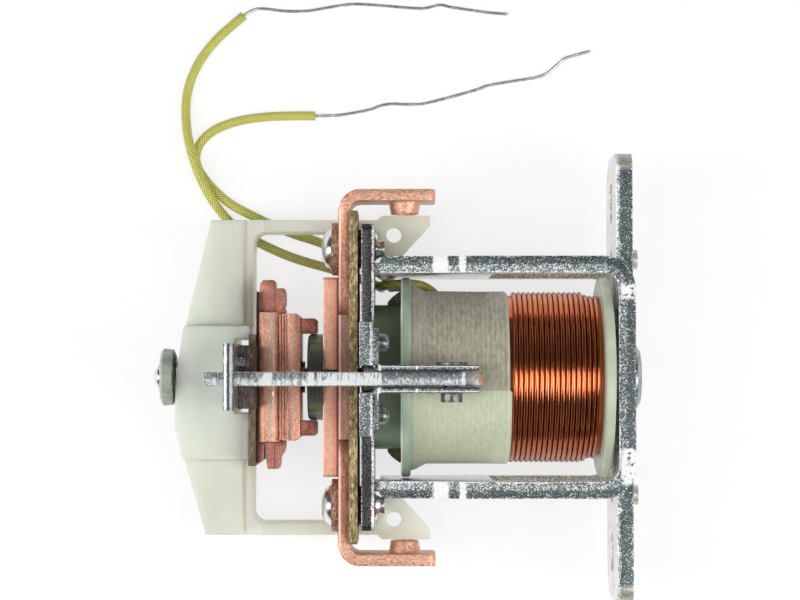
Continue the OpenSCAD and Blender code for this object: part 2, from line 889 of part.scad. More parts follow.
module upper_fixed_contact() {
    color(copper)
        fixed_contact();
}

module lower_fixed_contact() {
    color(copper)
        mirror([0, 1, 0])
            fixed_contact();
}

module guide_bush() {
    color(sage)
        turned([[rod_bore, bush_left + bush_pocket], [collar_r + 0.4, bush_left + bush_pocket],
                [collar_r + 0.4, bush_left], [bush_head_r - 0.5, bush_left],
                [bush_head_r, bush_left + 0.5], [bush_head_r, fixed_left],
                [nose_r, fixed_left], [nose_r, insulator_right],
                [rod_bore, insulator_right]]);
}

// Clevis of the trip lever

module clevis_bracket(side) {
    heel = 1.6;
    translate([0, lever_y, 0])
        scale([1, side, 1])
            difference() {
                union() {
                    translate([0, 0, clevis_bottom])
                        linear_extrude(clevis_height) {
                            translate([pole_right, clevis_in + heel])
                                square([clevis_t, clevis_leg - heel]);
                            translate([pole_right + heel, clevis_in + heel])
                                scale([-1, -1])
                                    quarter_ring(heel, heel - clevis_t);
                        }
                    side_plate([clevis_in, clevis_out])
                        difference() {
                            union() {
                                translate([pole_right + heel, clevis_bottom])
                                    square([clevis_reach - heel - clevis_height / 2,
                                            clevis_height]);
                                round_rect([pole_right + clevis_reach - clevis_height,
                                            clevis_bottom],
                                           [pole_right + clevis_reach, clevis_top], 2.4);
                            }
                            translate([pin_x, pin_z])
                                circle(pin_r);
                        }
                }
                translate([0, rivet_y, pin_z])
                    rod_x(pole_right - 1, pole_right + clevis_t + 1, clevis_rivet_r);
            }
}

module upper_clevis_bracket() {
    color(zinc)
        clevis_bracket(1);
}

module lower_clevis_bracket() {
    color(zinc)
        clevis_bracket(-1);
}

module clevis_rivets() {
    seat = pole_right + clevis_t;
    color(zinc)
        for (side = [-1, 1])
            translate([0, side * rivet_y + lever_y, pin_z])
                turned([[0, pole_left], [clevis_rivet_r, pole_left], [clevis_rivet_r, seat],
                        [clevis_head_r, seat], [clevis_head_r * 0.97, seat + clevis_head * 0.57],
                        [clevis_head_r * 0.7, seat + clevis_head * 0.9],
                        [0, seat + clevis_head]]);
}

module pivot_pin() {
    top = lever_y + clevis_out + clip_t;
    bottom = lever_y - clevis_out;
    color(steel) {
        rod_y(pin_x, bottom, top, pin_z, pin_r, pin_r);
        rod_y(pin_x, bottom - pin_head, bottom, pin_z, pin_head_r, pin_head_r);
    }
}

module pin_clip() {
    seat = lever_y + clevis_out;
    color(steel)
        difference() {
            rod_y(pin_x, seat, seat + clip_t, pin_z, clip_r, clip_r);
            rod_y(pin_x, seat - 1, seat + 2, pin_z, pin_r, pin_r);
        }
}

// Moving contact stack

module on_rod(x, y_half, z_half) {
    difference() {
        block(x, [-y_half, y_half], [-z_half, z_half]);
        rod_x(x[0] - 1, x[1] + 1, rod_r);
    }
}

module main_leaf() {
    half = bar_length / 2 - 0.2;
    color(red_copper)
        difference() {
            translate([0, 0, -contact_half])
                linear_extrude(2 * contact_half)
                    polygon([[leaf_left, -half], [leaf_left, half],
                             [tip_left - 0.9, half], [tip_left, half - 0.7],
                             [tip_left, 0.7 - half], [tip_left - 0.9, -half]]);
            rod_x(leaf_left - 1, tip_left + 1, rod_r);
        }
}

module thin_leaves() {
    color(copper)
        for (i = [0:2]) {
            x = thin_left + i * (thin_leaf_t + groove);
            on_rod([x, x + thin_leaf_t], bar_length / 2 - 0.4, contact_half - 0.1 * i);
        }
}

module contact_tips() {
    color(red_copper)
        upper_and_lower()
            translate([0, 0, -contact_half + 0.5])
                linear_extrude(2 * contact_half - 1)
                    polygon([[tip_left, tip_in], [tip_left + tip_height - 0.3, tip_in],
                             [tip_left + tip_height, tip_in + 0.3],
                             [tip_left + tip_height, tip_out - 0.3],
                             [tip_left + tip_height - 0.3, tip_out], [tip_left, tip_out]]);
}

module contact_bar() {
    color(red_copper)
        difference() {
            side_plate([-bar_length / 2, bar_length / 2])
                round_rect([bar_left, -bar_width / 2], [thin_left, bar_width / 2],
                           bar_t * 0.35);
            rod_x(bar_left - 1, thin_left + 1, rod_r);
        }
}

// A copper clip on the end of the contact bar. Its tongues are outlines from the bar's corner.
module clip(tongues) {
    translate([bar_left, bar_length / 2, clip_z[0]])
        linear_extrude(clip_z[1] - clip_z[0]) {
            square([bar_t + 1, 0.8]);
            for (outline = tongues)
                polygon(outline);
        }
}

module upper_clip() {
    color(red_copper)
        clip([[[0, 0], [3.3, 0], [3.3, 6.4], [3, 6.8], [0.9, 6.8], [0.3, 6], [0, 4.4]],
              [[3.2, 0], [4.3, 0.2], [5.1, 0.9], [5.4, 2], [5.4, 4.1], [5.1, 5.1], [3.2, 5.1]]]);
}

module lower_clip() {
    color(red_copper)
        mirror([0, 1, 0])
            clip([[[0, 0], [1.1, 0], [1.1, 3.8], [0.2, 4.5], [0, 4.5]],
                  [[1.6, 0], [4.5, 0], [4.4, 4.2], [4.2, 5.5], [4, 5.7], [2, 5.7], [1.8, 5.4],
                   [1.6, 4]],
                  [[4.4, 0], [5.4, 0], [5.4, 1.2], [5.1, 2.3], [4.4, 3.4]]]);
}

module backing_shim() {
    color(steel)
        on_rod([shim_left, bar_left], shim_half, contact_half);
}

module fibre_backing() {
    color(fibre)
        difference() {
            block([backing_left, shim_left], backing_y, [-contact_half - 1, contact_half + 1]);
            rod_x(backing_left - 1, shim_left + 1, rod_r);
        }
}

// Latch

module latch_block() {
    color(brown_fibre)
        difference() {
            side_plate([-latch_half + 0.2, latch_half - 0.2])
                polygon([[latch_right, -latch_depth], [backing_left, -latch_depth],
                         [backing_left, block_step], [backing_left + block_lip, block_step],
                         [backing_left + block_lip, block_top], [latch_right, block_top]]);
            rod_x(latch_right - 1, backing_left + 1, rod_r);
        }
}

module latch_plate() {
    color(zinc)
        difference() {
            union() {
                end_plate([latch_left, latch_right])
                    round_rect([-latch_half, -latch_depth], [latch_half, latch_top], 0.8);
                block([latch_right - 0.5, latch_right + 1.4], hook_y, hook_z);
            }
            block([latch_left - 1, latch_right + 1],
                  [lever_y - slot_side, lever_y + slot_side], [slot_bottom, slot_top]);
            rod_x(latch_left - 1, latch_right + 1, rod_r);
        }
}

// The outline of the yoke, which spreads with the draft of the mould
module sliding_yoke_outline(draft) {
    half = nylon_out - nylon_draft + draft;
    arm_right = ear_right - 10.8;
    difference() {
        polygon([[arm_right, half], [crossbar_left + 7 - draft, half],
                 [crossbar_left + 1.7 - draft / 2, pad_y[1]], [crossbar_left, -0.8],
                 [crossbar_left, -10.8], [crossbar_left + 1.6 - draft / 2, pad_y[0]],
                 [crossbar_left + 6 - draft, -half], [arm_right, -half]]);
        round_rect([crossbar_right, -nylon_in], [0, nylon_in], nylon_fillet);
    }
}

module nylon_ear() {
    left = pole_right + 0.5;
    translate([0, 0, arm_top - nylon_ear_t])
        linear_extrude(nylon_ear_t)
            difference() {
                polygon([[left, ear_in], [left, nylon_out], [left + 0.9, ear_out],
                         [ear_right, ear_out], [ear_right + 0.2, ear_out - 2],
                         [ear_right - 5.8, ear_in]]);
                translate([nylon_hole_x, nylon_hole_y])
                    circle(nylon_hole_d / 2);
            }
}

// A part of the yoke's crossbar up to some height, between two limits each way
module crossbar_level(top, x_right, y) {
    translate([0, 0, nylon_back])
        linear_extrude(top - nylon_back)
            intersection() {
                sliding_yoke_outline(0);
                translate([crossbar_left - 1, y[0]])
                    square([x_right - crossbar_left + 1, y[1] - y[0]]);
            }
}

module sliding_yoke() {
    color(nylon)
        difference() {
            union() {
                translate([0, 0, nylon_back])
                    linear_extrude(arm_top - nylon_back)
                        sliding_yoke_outline(nylon_draft);
                crossbar_level(bar_top, bar_right, [-nylon_out, nylon_out]);
                crossbar_level(pad_top, crossbar_right, pad_y);
                upper_and_lower()
                    nylon_ear();
            }
            block([latch_left, crossbar_right + 1], notch_y, [nylon_back - 1, pad_top + 1]);
            rod_x(crossbar_left - 1, latch_left + 1, rod_r);
        }
}

module buffer_washer() {
    r = buffer_d / 2;
    color(sage)
        turned([[rod_r, buffer_left], [r - 0.6, buffer_left], [r, buffer_left + 0.5],
                [r - 0.2, crossbar_left - 0.6], [r - 1.4, crossbar_left - 0.1],
                [rod_r + 1.2, crossbar_left - 0.1], [rod_r + 0.8, crossbar_left],
                [rod_r, crossbar_left]]);
}

// Trip lever

module trip_lever() {
    step_x = lever_left + 2.3;
    color(zinc)
        side_plate([lever_y - lever_t / 2, lever_y + lever_t / 2])
            difference() {
                polygon([[lever_left, lever_bottom], [lever_left, lever_top - 1.1],
                         [step_x, lever_top - 1.1], [step_x + 0.4, lever_top],
                         [notch_right - 0.9, lever_top], [notch_right - 0.3, lever_top - 0.5],
                         [notch_right + 0.9, lever_top - 0.5], [notch_right + 1.4, lever_top],
                         [lever_right - 2, lever_top], [lever_right, lever_top - 0.9],
                         [lever_right, lever_bottom + 0.8], [lever_right - 1, lever_bottom],
                         [notch_right, lever_bottom], [notch_right, lever_bottom + tooth],
                         [notch_left, lever_bottom + tooth], [notch_left, lever_bottom]]);
                translate([pin_x, pin_z])
                    circle(pin_r + pin_clearance);
            }
}

// Leads

module long_lead_sleeve() {
    color(braid)
        swept_tube(long_lead, sleeve_d / 2, 8, [0, 0, 1]);
}

module long_lead_wire() {
    color(tinned)
        swept_tube(long_wire, lead_wire_d / 2, 8, [0, 0, 1]);
}

module short_lead_sleeve() {
    color(braid)
        swept_tube(short_lead, sleeve_d / 2, 8, [0, 0, 1]);
}

module short_lead_wire() {
    color(tinned)
        swept_tube(short_wire, lead_wire_d / 2, 8, [0, 0, 1]);
}

yoke_frame();
fixed_core();
core_washer();
guide_tube();
bobbin();
flange_insulator();
inner_winding();
outer_turns();
tape_wrap();
pole_plate();
insulating_plate();
rivet_bushes();
terminal_rivets();
rivet_washers();
upper_terminal();
lower_terminal();
contact_spacer();
upper_fixed_contact();
lower_fixed_contact();
guide_bush();
upper_clevis_bracket();
lower_clevis_bracket();
clevis_rivets();
pivot_pin();
pin_clip();
return_spring();
plunger();
push_rod();
main_leaf();
thin_leaves();
contact_tips();
contact_bar();
upper_clip();
lower_clip();
backing_shim();
fibre_backing();
latch_block();
latch_plate();
sliding_yoke();
buffer_washer();
trip_lever();
long_lead_sleeve();
long_lead_wire();
short_lead_sleeve();
short_lead_wire();
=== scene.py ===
"""Starter solenoid: finishes, wound and woven pieces and leads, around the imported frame."""

import json
import math
import random

import bpy
from mathutils import Matrix, Vector


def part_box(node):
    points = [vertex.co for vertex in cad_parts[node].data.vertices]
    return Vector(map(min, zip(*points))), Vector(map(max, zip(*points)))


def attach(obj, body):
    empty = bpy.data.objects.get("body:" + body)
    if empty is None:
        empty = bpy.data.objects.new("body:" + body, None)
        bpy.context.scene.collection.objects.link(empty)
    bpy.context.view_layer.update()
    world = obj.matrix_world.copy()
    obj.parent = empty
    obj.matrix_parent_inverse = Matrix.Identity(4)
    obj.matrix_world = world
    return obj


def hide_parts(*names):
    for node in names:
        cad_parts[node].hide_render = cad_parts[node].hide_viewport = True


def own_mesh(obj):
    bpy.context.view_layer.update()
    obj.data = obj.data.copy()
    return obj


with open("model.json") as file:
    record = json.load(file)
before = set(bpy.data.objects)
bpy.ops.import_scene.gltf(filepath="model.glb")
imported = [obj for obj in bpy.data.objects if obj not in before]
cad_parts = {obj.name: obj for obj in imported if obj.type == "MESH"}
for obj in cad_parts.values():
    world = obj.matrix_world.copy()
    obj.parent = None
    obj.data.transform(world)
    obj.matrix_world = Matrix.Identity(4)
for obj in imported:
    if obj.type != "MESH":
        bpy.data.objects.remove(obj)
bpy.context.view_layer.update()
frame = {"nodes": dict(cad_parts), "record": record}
MM = 0.001


def mm(*values):
    """Millimetres to a vector in metres."""
    return Vector(values) * MM


# Camera, at the photograph's place: straight above the neck of the bobbin

CAMERA_X = -46.8
CAMERA_Z = 456.0
VIEW_CENTRE = (-47.2, 15.4, 16.0)
LENS = 99.0
SENSOR_WIDTH = 36.0


def make_camera():
    data = bpy.data.cameras.new("camera")
    data.lens = LENS
    data.sensor_width = SENSOR_WIDTH
    data.clip_start = 10 * MM
    camera = bpy.data.objects.new("camera", data)
    camera.location = mm(CAMERA_X, 0, CAMERA_Z)
    look = (mm(*VIEW_CENTRE) - camera.location).normalized()
    right = look.cross(Vector((0, 1, 0))).normalized()
    turn = Matrix((right, right.cross(look), -look)).transposed()
    camera.rotation_euler = turn.to_euler()
    bpy.context.scene.collection.objects.link(camera)
    bpy.context.scene.camera = camera


make_camera()


# Meshes

def new_object(name, vertices, faces, smooth=True, uvs=None):
    """A mesh object from points in millimetres. uvs holds one pair for each face corner."""
    mesh = bpy.data.meshes.new(name)
    mesh.from_pydata([[c * MM for c in v] for v in vertices], [], faces)
    if uvs:
        layer = mesh.uv_layers.new(name="UVMap")
        for loop, uv in zip(layer.data, uvs):
            loop.uv = uv
    mesh.validate()
    mesh.update()
    for polygon in mesh.polygons:
        polygon.use_smooth = smooth
    obj = bpy.data.objects.new(name, mesh)
    bpy.context.scene.collection.objects.link(obj)
    return obj


def smooth_route(points, steps):
    """A Catmull-Rom curve through the points, with some steps between each pair."""
    p = [Vector(v) for v in points]
    p = [2 * p[0] - p[1]] + p + [2 * p[-1] - p[-2]]
    route = []
    for a, b, c, d in zip(p, p[1:], p[2:], p[3:]):
        for i in range(steps):
            t = i / steps
            route.append(0.5 * (2 * b + (c - a) * t + (2 * a - 5 * b + 4 * c - d) * t * t
                                + (3 * b - a - 3 * c + d) * t ** 3))
    return route + [p[-2]]


def swept_tube(name, route, radii, sides, caps=True, seed=(0, 0, 1)):
    """A tube along a route, with UVs in millimetres along it and turns round it."""
    count = len(route)
    normal = Vector(seed)
    vertices, lengths = [], [0.0]
    for i, point in enumerate(route):
        tangent = (route[min(i + 1, count - 1)] - route[max(i - 1, 0)]).normalized()
        normal = (normal - tangent * normal.dot(tangent)).normalized()
        side = tangent.cross(normal)
        if i:
            lengths.append(lengths[-1] + (point - route[i - 1]).length)
        for j in range(sides):
            angle = math.tau * j / sides
            vertices.append(point + radii[i] * (math.cos(angle) * normal + math.sin(angle) * side))
    faces, uvs = [], []
    for i in range(count - 1):
        for j in range(sides):
            k = (j + 1) % sides
            faces.append((i * sides + j, (i + 1) * sides + j, (i + 1) * sides + k, i * sides + k))
            low, high = j / sides, (j + 1) / sides
            uvs += [(lengths[i], low), (lengths[i + 1], low), (lengths[i + 1], high),
                    (lengths[i], high)]
    if caps:
        for ring, order in ((0, 1), (count - 1, -1)):
            faces.append([ring * sides + j for j in range(sides)][::order])
            uvs += [(lengths[ring], 0.5)] * sides
    return new_object(name, vertices, faces, uvs=uvs)


# Leads: the routes are those of the source, in millimetres

FLOOR_Z = -20.6
SLEEVE_D = 2.0
WIRE_D = 0.76
SLEEVE_Z = FLOOR_Z + SLEEVE_D / 2
WIRE_Z = FLOOR_Z + WIRE_D / 2
LEAD_STEPS = 6
LONG_LEAD = [(-38.5, 15.1, -9.9), (-39.1, 16.4, -8.4), (-40, 17.5, -7), (-41.2, 18.4, -5.7),
             (-42.7, 19.1, -4.7), (-44.6, 19.4, -4), (-46.7, 19.4, -3.8), (-49, 19.3, -4.4),
             (-50.6, 19.2, -6), (-51.2, 19.1, -8.3), (-51.2, 19, -11.7), (-51.2, 19.1, -15.1),
             (-51.8, 19.5, -17.3), (-53.4, 20.2, -19), (-55.7, 21.1, SLEEVE_Z),
             (-61, 23, SLEEVE_Z), (-71, 26, SLEEVE_Z), (-80, 30.3, SLEEVE_Z),
             (-84.8, 34.3, -19.2), (-89, 40.3, -17.2), (-92, 47.7, -17.2), (-93.5, 55, -18.6),
             (-93.3, 62, SLEEVE_Z), (-91, 68, SLEEVE_Z), (-87, 73.3, SLEEVE_Z),
             (-81.2, 78.5, SLEEVE_Z)]
LONG_WIRE = [(-81.2, 78.5, SLEEVE_Z), (-79.2, 79.7, -19.9), (-77.2, 80.1, WIRE_Z),
             (-72.5, 79.6, WIRE_Z), (-69.5, 79.5, WIRE_Z), (-66.5, 79.7, WIRE_Z),
             (-62.5, 80.4, WIRE_Z), (-58.5, 81, WIRE_Z), (-54.5, 81, WIRE_Z),
             (-44.3, 80.2, WIRE_Z), (-41.8, 80.2, WIRE_Z), (-40, 80.6, WIRE_Z),
             (-38.3, 80.9, WIRE_Z), (-36, 80.4, WIRE_Z), (-32, 79.8, WIRE_Z),
             (-27.7, 79.2, WIRE_Z), (-23.7, 78.9, WIRE_Z)]
SHORT_LEAD = [(-40.2, 13.4, -12.5), (-40.8, 14.9, -11), (-41.8, 16.3, -9.6),
              (-43.1, 17.5, -8.5), (-44.4, 18.3, -7.9), (-45.9, 18.8, -7.7), (-47.4, 19, -8.2),
              (-48.6, 19, -9.4), (-49.1, 19, -11.1), (-49.1, 19.3, -13.2), (-49.1, 19.9, -15.1),
              (-49.7, 20.8, -17.3), (-51.3, 22.1, -19), (-53.6, 23.6, SLEEVE_Z),
              (-58, 26, SLEEVE_Z), (-64.4, 29, SLEEVE_Z), (-71, 31.2, SLEEVE_Z),
              (-78, 34.3, SLEEVE_Z), (-84.3, 37.7, SLEEVE_Z), (-89, 42.2, SLEEVE_Z),
              (-91.4, 46.4, SLEEVE_Z), (-90.8, 50.2, SLEEVE_Z), (-87.8, 53.3, SLEEVE_Z),
              (-83, 55.3, SLEEVE_Z), (-77.2, 56.3, SLEEVE_Z), (-71, 56.6, SLEEVE_Z),
              (-65.6, 56.6, SLEEVE_Z)]
SHORT_WIRE = [(-65.6, 56.6, SLEEVE_Z), (-63, 56.7, -19.9), (-60, 56.9, WIRE_Z),
              (-54, 58, WIRE_Z), (-51.5, 58.9, WIRE_Z), (-49, 59.3, WIRE_Z),
              (-46, 59.2, WIRE_Z), (-42.5, 59.3, WIRE_Z), (-38.5, 60.2, WIRE_Z),
              (-30.9, 62.3, WIRE_Z), (-27.7, 63.4, WIRE_Z), (-21.1, 64.5, WIRE_Z),
              (-17.5, 65.1, WIRE_Z), (-15.3, 66, WIRE_Z), (-13.2, 67.7, WIRE_Z),
              (-11.4, 69.2, WIRE_Z), (-8.8, 70, WIRE_Z), (-5.9, 70.8, WIRE_Z)]


def make_lead(node, points, diameter, sides):
    """One free cord: a sleeve or a bare wire, in place of its solid."""
    route = smooth_route(points, LEAD_STEPS)
    obj = swept_tube(node + "_round", route, [diameter / 2] * len(route), sides)
    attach(obj, "frame")
    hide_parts(node)
    return obj


leads = [
    (make_lead("long_lead_sleeve", LONG_LEAD, SLEEVE_D, 24), "braided_sleeve"),
    (make_lead("long_lead_wire", LONG_WIRE, WIRE_D, 12), "tinned_wire"),
    (make_lead("short_lead_sleeve", SHORT_LEAD, SLEEVE_D, 24), "braided_sleeve"),
    (make_lead("short_lead_wire", SHORT_WIRE, WIRE_D, 12), "tinned_wire"),
]


# Finishes

class Look:
    """One node-based material, with a short call for each kind of node.

    Places in it are millimetres in the shared frame."""

    def __init__(self, name, **shader_values):
        self.material = bpy.data.materials.new(name)
        self.material.use_nodes = True
        tree = self.material.node_tree
        self.nodes = tree.nodes
        self.links = tree.links
        self.shader = tree.nodes["Principled BSDF"]
        coordinates = self.nodes.new("ShaderNodeTexCoord")
        self.uv = coordinates.outputs["UV"]
        self.place = self.vector("MULTIPLY", coordinates.outputs["Object"], (1 / MM,) * 3)
        self.normal = self.nodes.new("ShaderNodeNewGeometry").outputs["True Normal"]
        self.x, self.y, self.z = (self.axis(self.place, letter) for letter in "XYZ")
        self.far_y = self.math("ABSOLUTE", self.y)
        for key, value in shader_values.items():
            self.set(key.replace("_", " "), value)

    def feed(self, socket, value):
        if isinstance(value, bpy.types.NodeSocket):
            self.links.new(value, socket)
        elif isinstance(value, tuple) and socket.type == "RGBA":
            socket.default_value = (*value, 1.0)
        else:
            socket.default_value = value

    def set(self, name, value):
        inputs = {s.name.lower(): s for s in self.shader.inputs}
        self.feed(inputs[name.lower()], value)

    def vector(self, operation, a, b):
        node = self.nodes.new("ShaderNodeVectorMath")
        node.operation = operation
        self.feed(node.inputs[0], a)
        self.feed(node.inputs[1], b)
        return node.outputs["Vector"]

    def math(self, operation, a, b=0.0, clamp=False):
        node = self.nodes.new("ShaderNodeMath")
        node.operation = operation
        node.use_clamp = clamp
        self.feed(node.inputs[0], a)
        self.feed(node.inputs[1], b)
        return node.outputs[0]

    def fold(self, operation, first, *others):
        for value in others:
            first = self.math(operation, first, value)
        return first

    def total(self, *values):
        return self.fold("ADD", *values)

    def product(self, *values):
        return self.fold("MULTIPLY", *values)

    def most(self, *values):
        return self.fold("MAXIMUM", *values)

    def flip(self, value):
        return self.math("SUBTRACT", 1.0, value)

    def wave(self, value):
        return self.math("SINE", value)

    def above(self, value, limit, soft):
        """0 below the limit and 1 above it, with a soft step."""
        shifted = self.math("SUBTRACT", value, limit - soft / 2)
        return self.math("DIVIDE", shifted, soft, clamp=True)

    def below(self, value, limit, soft):
        return self.flip(self.above(value, limit, soft))

    def band(self, value, low, high, soft=0.15):
        """1 between two limits, with soft steps."""
        return self.product(self.above(value, low, soft), self.below(value, high, soft))

    def bands(self, value, places, soft):
        return self.most(*[self.band(value, low, high, soft) for low, high in places])

    def peak(self, value, centre, half):
        """1 at the centre, falling to 0 at half a width away on both sides."""
        away = self.math("ABSOLUTE", self.math("SUBTRACT", value, centre))
        return self.math("SUBTRACT", 1.0, self.math("DIVIDE", away, half), clamp=True)

    def progress(self, value, low, high):
        """How far the value is on its way from low to high."""
        return self.math("DIVIDE", self.math("SUBTRACT", value, low), high - low)

    def torn(self, value, per_mm, amount):
        """The value with a ragged edge."""
        return self.total(value, self.product(
            self.math("SUBTRACT", self.noise(per_mm), 0.5), amount))

    def axis(self, vector, letter):
        node = self.nodes.new("ShaderNodeSeparateXYZ")
        self.feed(node.inputs[0], vector)
        return node.outputs[letter]

    def noise(self, per_mm, stretch=(1, 1, 1), detail=3.0, roughness=0.5):
        """Noise with so many features in a millimetre, thinned out along the axes by stretch."""
        scaled = self.vector("MULTIPLY", self.place, [per_mm / s for s in stretch])
        node = self.nodes.new("ShaderNodeTexNoise")
        self.feed(node.inputs["Vector"], scaled)
        node.inputs["Scale"].default_value = 1.0
        node.inputs["Detail"].default_value = detail
        node.inputs["Roughness"].default_value = roughness
        return node.outputs["Fac"]

    def ramp(self, factor, *stops):
        """Colour stops, each a place from 0 to 1 and a grey or colour."""
        node = self.nodes.new("ShaderNodeValToRGB")
        elements = node.color_ramp.elements
        while len(elements) < len(stops):
            elements.new(0.5)
        for element, (place, colour) in zip(elements, stops):
            element.position = place
            if isinstance(colour, (int, float)):
                colour = (colour, colour, colour)
            element.color = (*colour, 1.0)
        self.feed(node.inputs[0], factor)
        return node.outputs["Color"]

    def mix(self, factor, a, b, blend="MIX"):
        node = self.nodes.new("ShaderNodeMix")
        node.data_type = "RGBA"
        node.blend_type = blend
        self.feed(node.inputs["Factor"], factor)
        self.feed(node.inputs[6], a)
        self.feed(node.inputs[7], b)
        return node.outputs[2]

    def bump(self, height, depth_mm, strength=1.0):
        node = self.nodes.new("ShaderNodeBump")
        node.inputs["Strength"].default_value = strength
        node.inputs["Distance"].default_value = depth_mm * MM
        self.feed(node.inputs["Height"], height)
        self.feed(self.shader.inputs["Normal"], node.outputs["Normal"])

    def facing(self, letter):
        """1 on faces that look along the axis, either way, and 0 on faces beside it."""
        return self.math("ABSOLUTE", self.axis(self.normal, letter))


SHEAR = (0.05, 0.07, 0.07)
SHEAR_LIGHT = (0.19, 0.235, 0.235)
# Dark grey lines painted along edges as shade
EDGE_SHADE = (0.045, 0.055, 0.06)
# Near white, painted in as glints on the sheared faces
GLINT_FLECK = (0.92, 0.95, 0.95)

# Places of the frame's shapes, in millimetres
SHEET = 3.4
ARM_Y = 20.5
EAR_Y = 24.6
EAR_TIP_Y = 42.4
EAR_Z = 12.5
BEND_X, BEND_Y = -6.6, 17.7
BEND_INNER = 3.2
PLATE_FRONT_X = -50.8
LEVER_END_X = -34.4
LEVER_LOW_Y = -1.8


def zinc_surface(look, sheared, light, bright=None, tint=0.0, stretch=(1, 1, 1), olive=0.0,
                 plain=0.0, plain_colour=SHEAR_LIGHT):
    """Bright zinc on the sheet's faces. Sheared faces are dark grey, with bright flecks that are
    painted glints.

    light says how many painted glint flecks there are, bright where the face is painted quite
    white as a highlight, tint how much the rolled face is coloured, olive how yellow the dark
    grey is, and plain where one colour takes the place of flecks."""
    patches = look.noise(0.3, detail=4.0)
    face = look.ramp(patches, (0.35, (0.66, 0.68, 0.69)), (0.6, (0.88, 0.88, 0.89)))
    rainbow = look.ramp(look.noise(0.14, detail=1.0), (0.32, (0.98, 0.94, 0.66)),
                        (0.46, (0.98, 0.8, 0.88)), (0.58, (0.88, 0.84, 0.98)),
                        (0.7, (0.86, 0.97, 0.88)))
    face = look.mix(tint, face, rainbow, "MULTIPLY")
    grain = look.noise(3.4, stretch=stretch, detail=3.0, roughness=0.62)
    fine = look.noise(5.5, detail=2.0)
    shift = look.product(look.math("SUBTRACT", light, 0.5), 0.3)
    speck = look.ramp(look.total(grain, shift), (0.5, 0.0), (0.64, 1.0))
    mottle = look.ramp(look.total(look.product(grain, 0.5), look.product(fine, 0.5), shift),
                       (0.36, SHEAR), (0.62, SHEAR_LIGHT))
    mottle = look.mix(olive, mottle, (0.5, 0.5, 0.4))
    # Painted glints: near white flecks where the grain is high
    shear = look.mix(speck, mottle, GLINT_FLECK)
    # bright paints highlights: near white, with more painted glints
    if bright is not None:
        speck = look.most(speck, look.product(bright, 1.6))
        shear = look.mix(bright, shear, look.ramp(fine, (0.35, 0.9), (0.5, 0.98)))
    shear = look.mix(plain, shear, plain_colour)
    look.set("base color", look.mix(sheared, face, shear))
    look.set("metallic", look.flip(look.product(
        sheared, look.total(0.5, look.product(speck, 0.3)))))
    look.set("roughness", look.ramp(look.noise(1.4, detail=4.0), (0.3, 0.2), (0.7, 0.36)))
    height = look.total(look.product(fine, 0.4), look.product(grain, sheared, 1.3))
    look.bump(height, 0.09, 0.7)


def zinc_yoke():
    """The frame, toned by the depth into its sheet: 0 inside the bend and 3.4 outside it, with
    painted highlights on its rims, arms, bend and bosses.
    """
    look = Look("zinc_yoke")
    over_y = look.most(look.math("SUBTRACT", look.far_y, BEND_Y), 0.0)
    over_x = look.most(look.math("SUBTRACT", look.x, BEND_X), 0.0)
    over = look.math("SQRT", look.total(look.product(over_x, over_x),
                                        look.product(over_y, over_y)))
    low = look.below(look.z, EAR_Z, 0.2)
    depth = look.mix(look.product(low, look.above(look.far_y, ARM_Y, 0.1)),
                     look.math("SUBTRACT", over, BEND_INNER), look.total(look.x, SHEET))
    depth = look.torn(depth, 0.6, 1.1)
    edge_y = look.product(look.above(look.far_y, EAR_Y, 0.2),
                          look.above(look.facing("Y"), 0.5, 0.2))
    sheared = look.most(look.above(look.facing("Z"), 0.45, 0.2), edge_y)

    on_ear = look.product(low, look.above(look.far_y, EAR_Y - 0.2, 0.2))
    on_base = look.above(look.x, -6.0, 3.0)
    on_arm = look.above(look.far_y, 20.0, 0.4)
    # rims are painted highlights: more glint flecks along the sheet's edges
    rims = look.bands(depth, ((-0.5, 0.25), (3.2, 4.0)), 0.2)
    light_arm = look.total(0.28, look.product(look.below(depth, 1.7, 0.5), 0.3),
                           look.product(on_base, -0.1))
    light_ear = look.total(0.24, look.product(look.below(depth, 0.8, 0.4), 0.46))
    light = look.total(look.mix(on_ear, light_arm, light_ear), look.product(rims, 0.35))

    # Painted highlights: near white patches across the arms' sloped faces
    stripe_x = look.torn(look.x, 1.2, 1.2)
    stripes = look.product(on_arm, look.bands(stripe_x, ((-40.6, -37.5), (-35.3, -34.0)), 0.4))
    # Painted highlight: a near white patch on the base at the bend
    patch_y = look.torn(look.y, 1.2, 1.5)
    bend = look.product(look.bands(patch_y, ((15.6, 18.6), (-21.5, -14.4)), 0.8),
                        look.band(look.x, -3.0, 0.1, 0.6), look.above(look.noise(1.0), 0.42, 0.1))
    # Painted highlight on the locating bosses
    boss = look.product(look.above(look.x, 0.15, 0.1), 0.25)

    inner_arm = look.math("LESS_THAN", look.product(look.axis(look.normal, "Y"), look.y), -2.0)
    ear_face = look.product(on_ear, look.above(look.facing("X"), 0.6, 0.2))
    tint = look.total(0.12, look.product(inner_arm, 0.7), look.product(ear_face, 0.4))
    # Yellower grey on the ear tips; sheared faces below z 6, which lie in shade, are painted
    # lighter as painted light
    olive = look.most(look.product(look.above(look.far_y, EAR_TIP_Y, 1.0), 0.9),
                      look.product(look.below(look.z, 6.0, 0.5), 0.8))
    zinc_surface(look, sheared, light, look.most(stripes, bend, boss), tint, olive=olive)
    return look.material


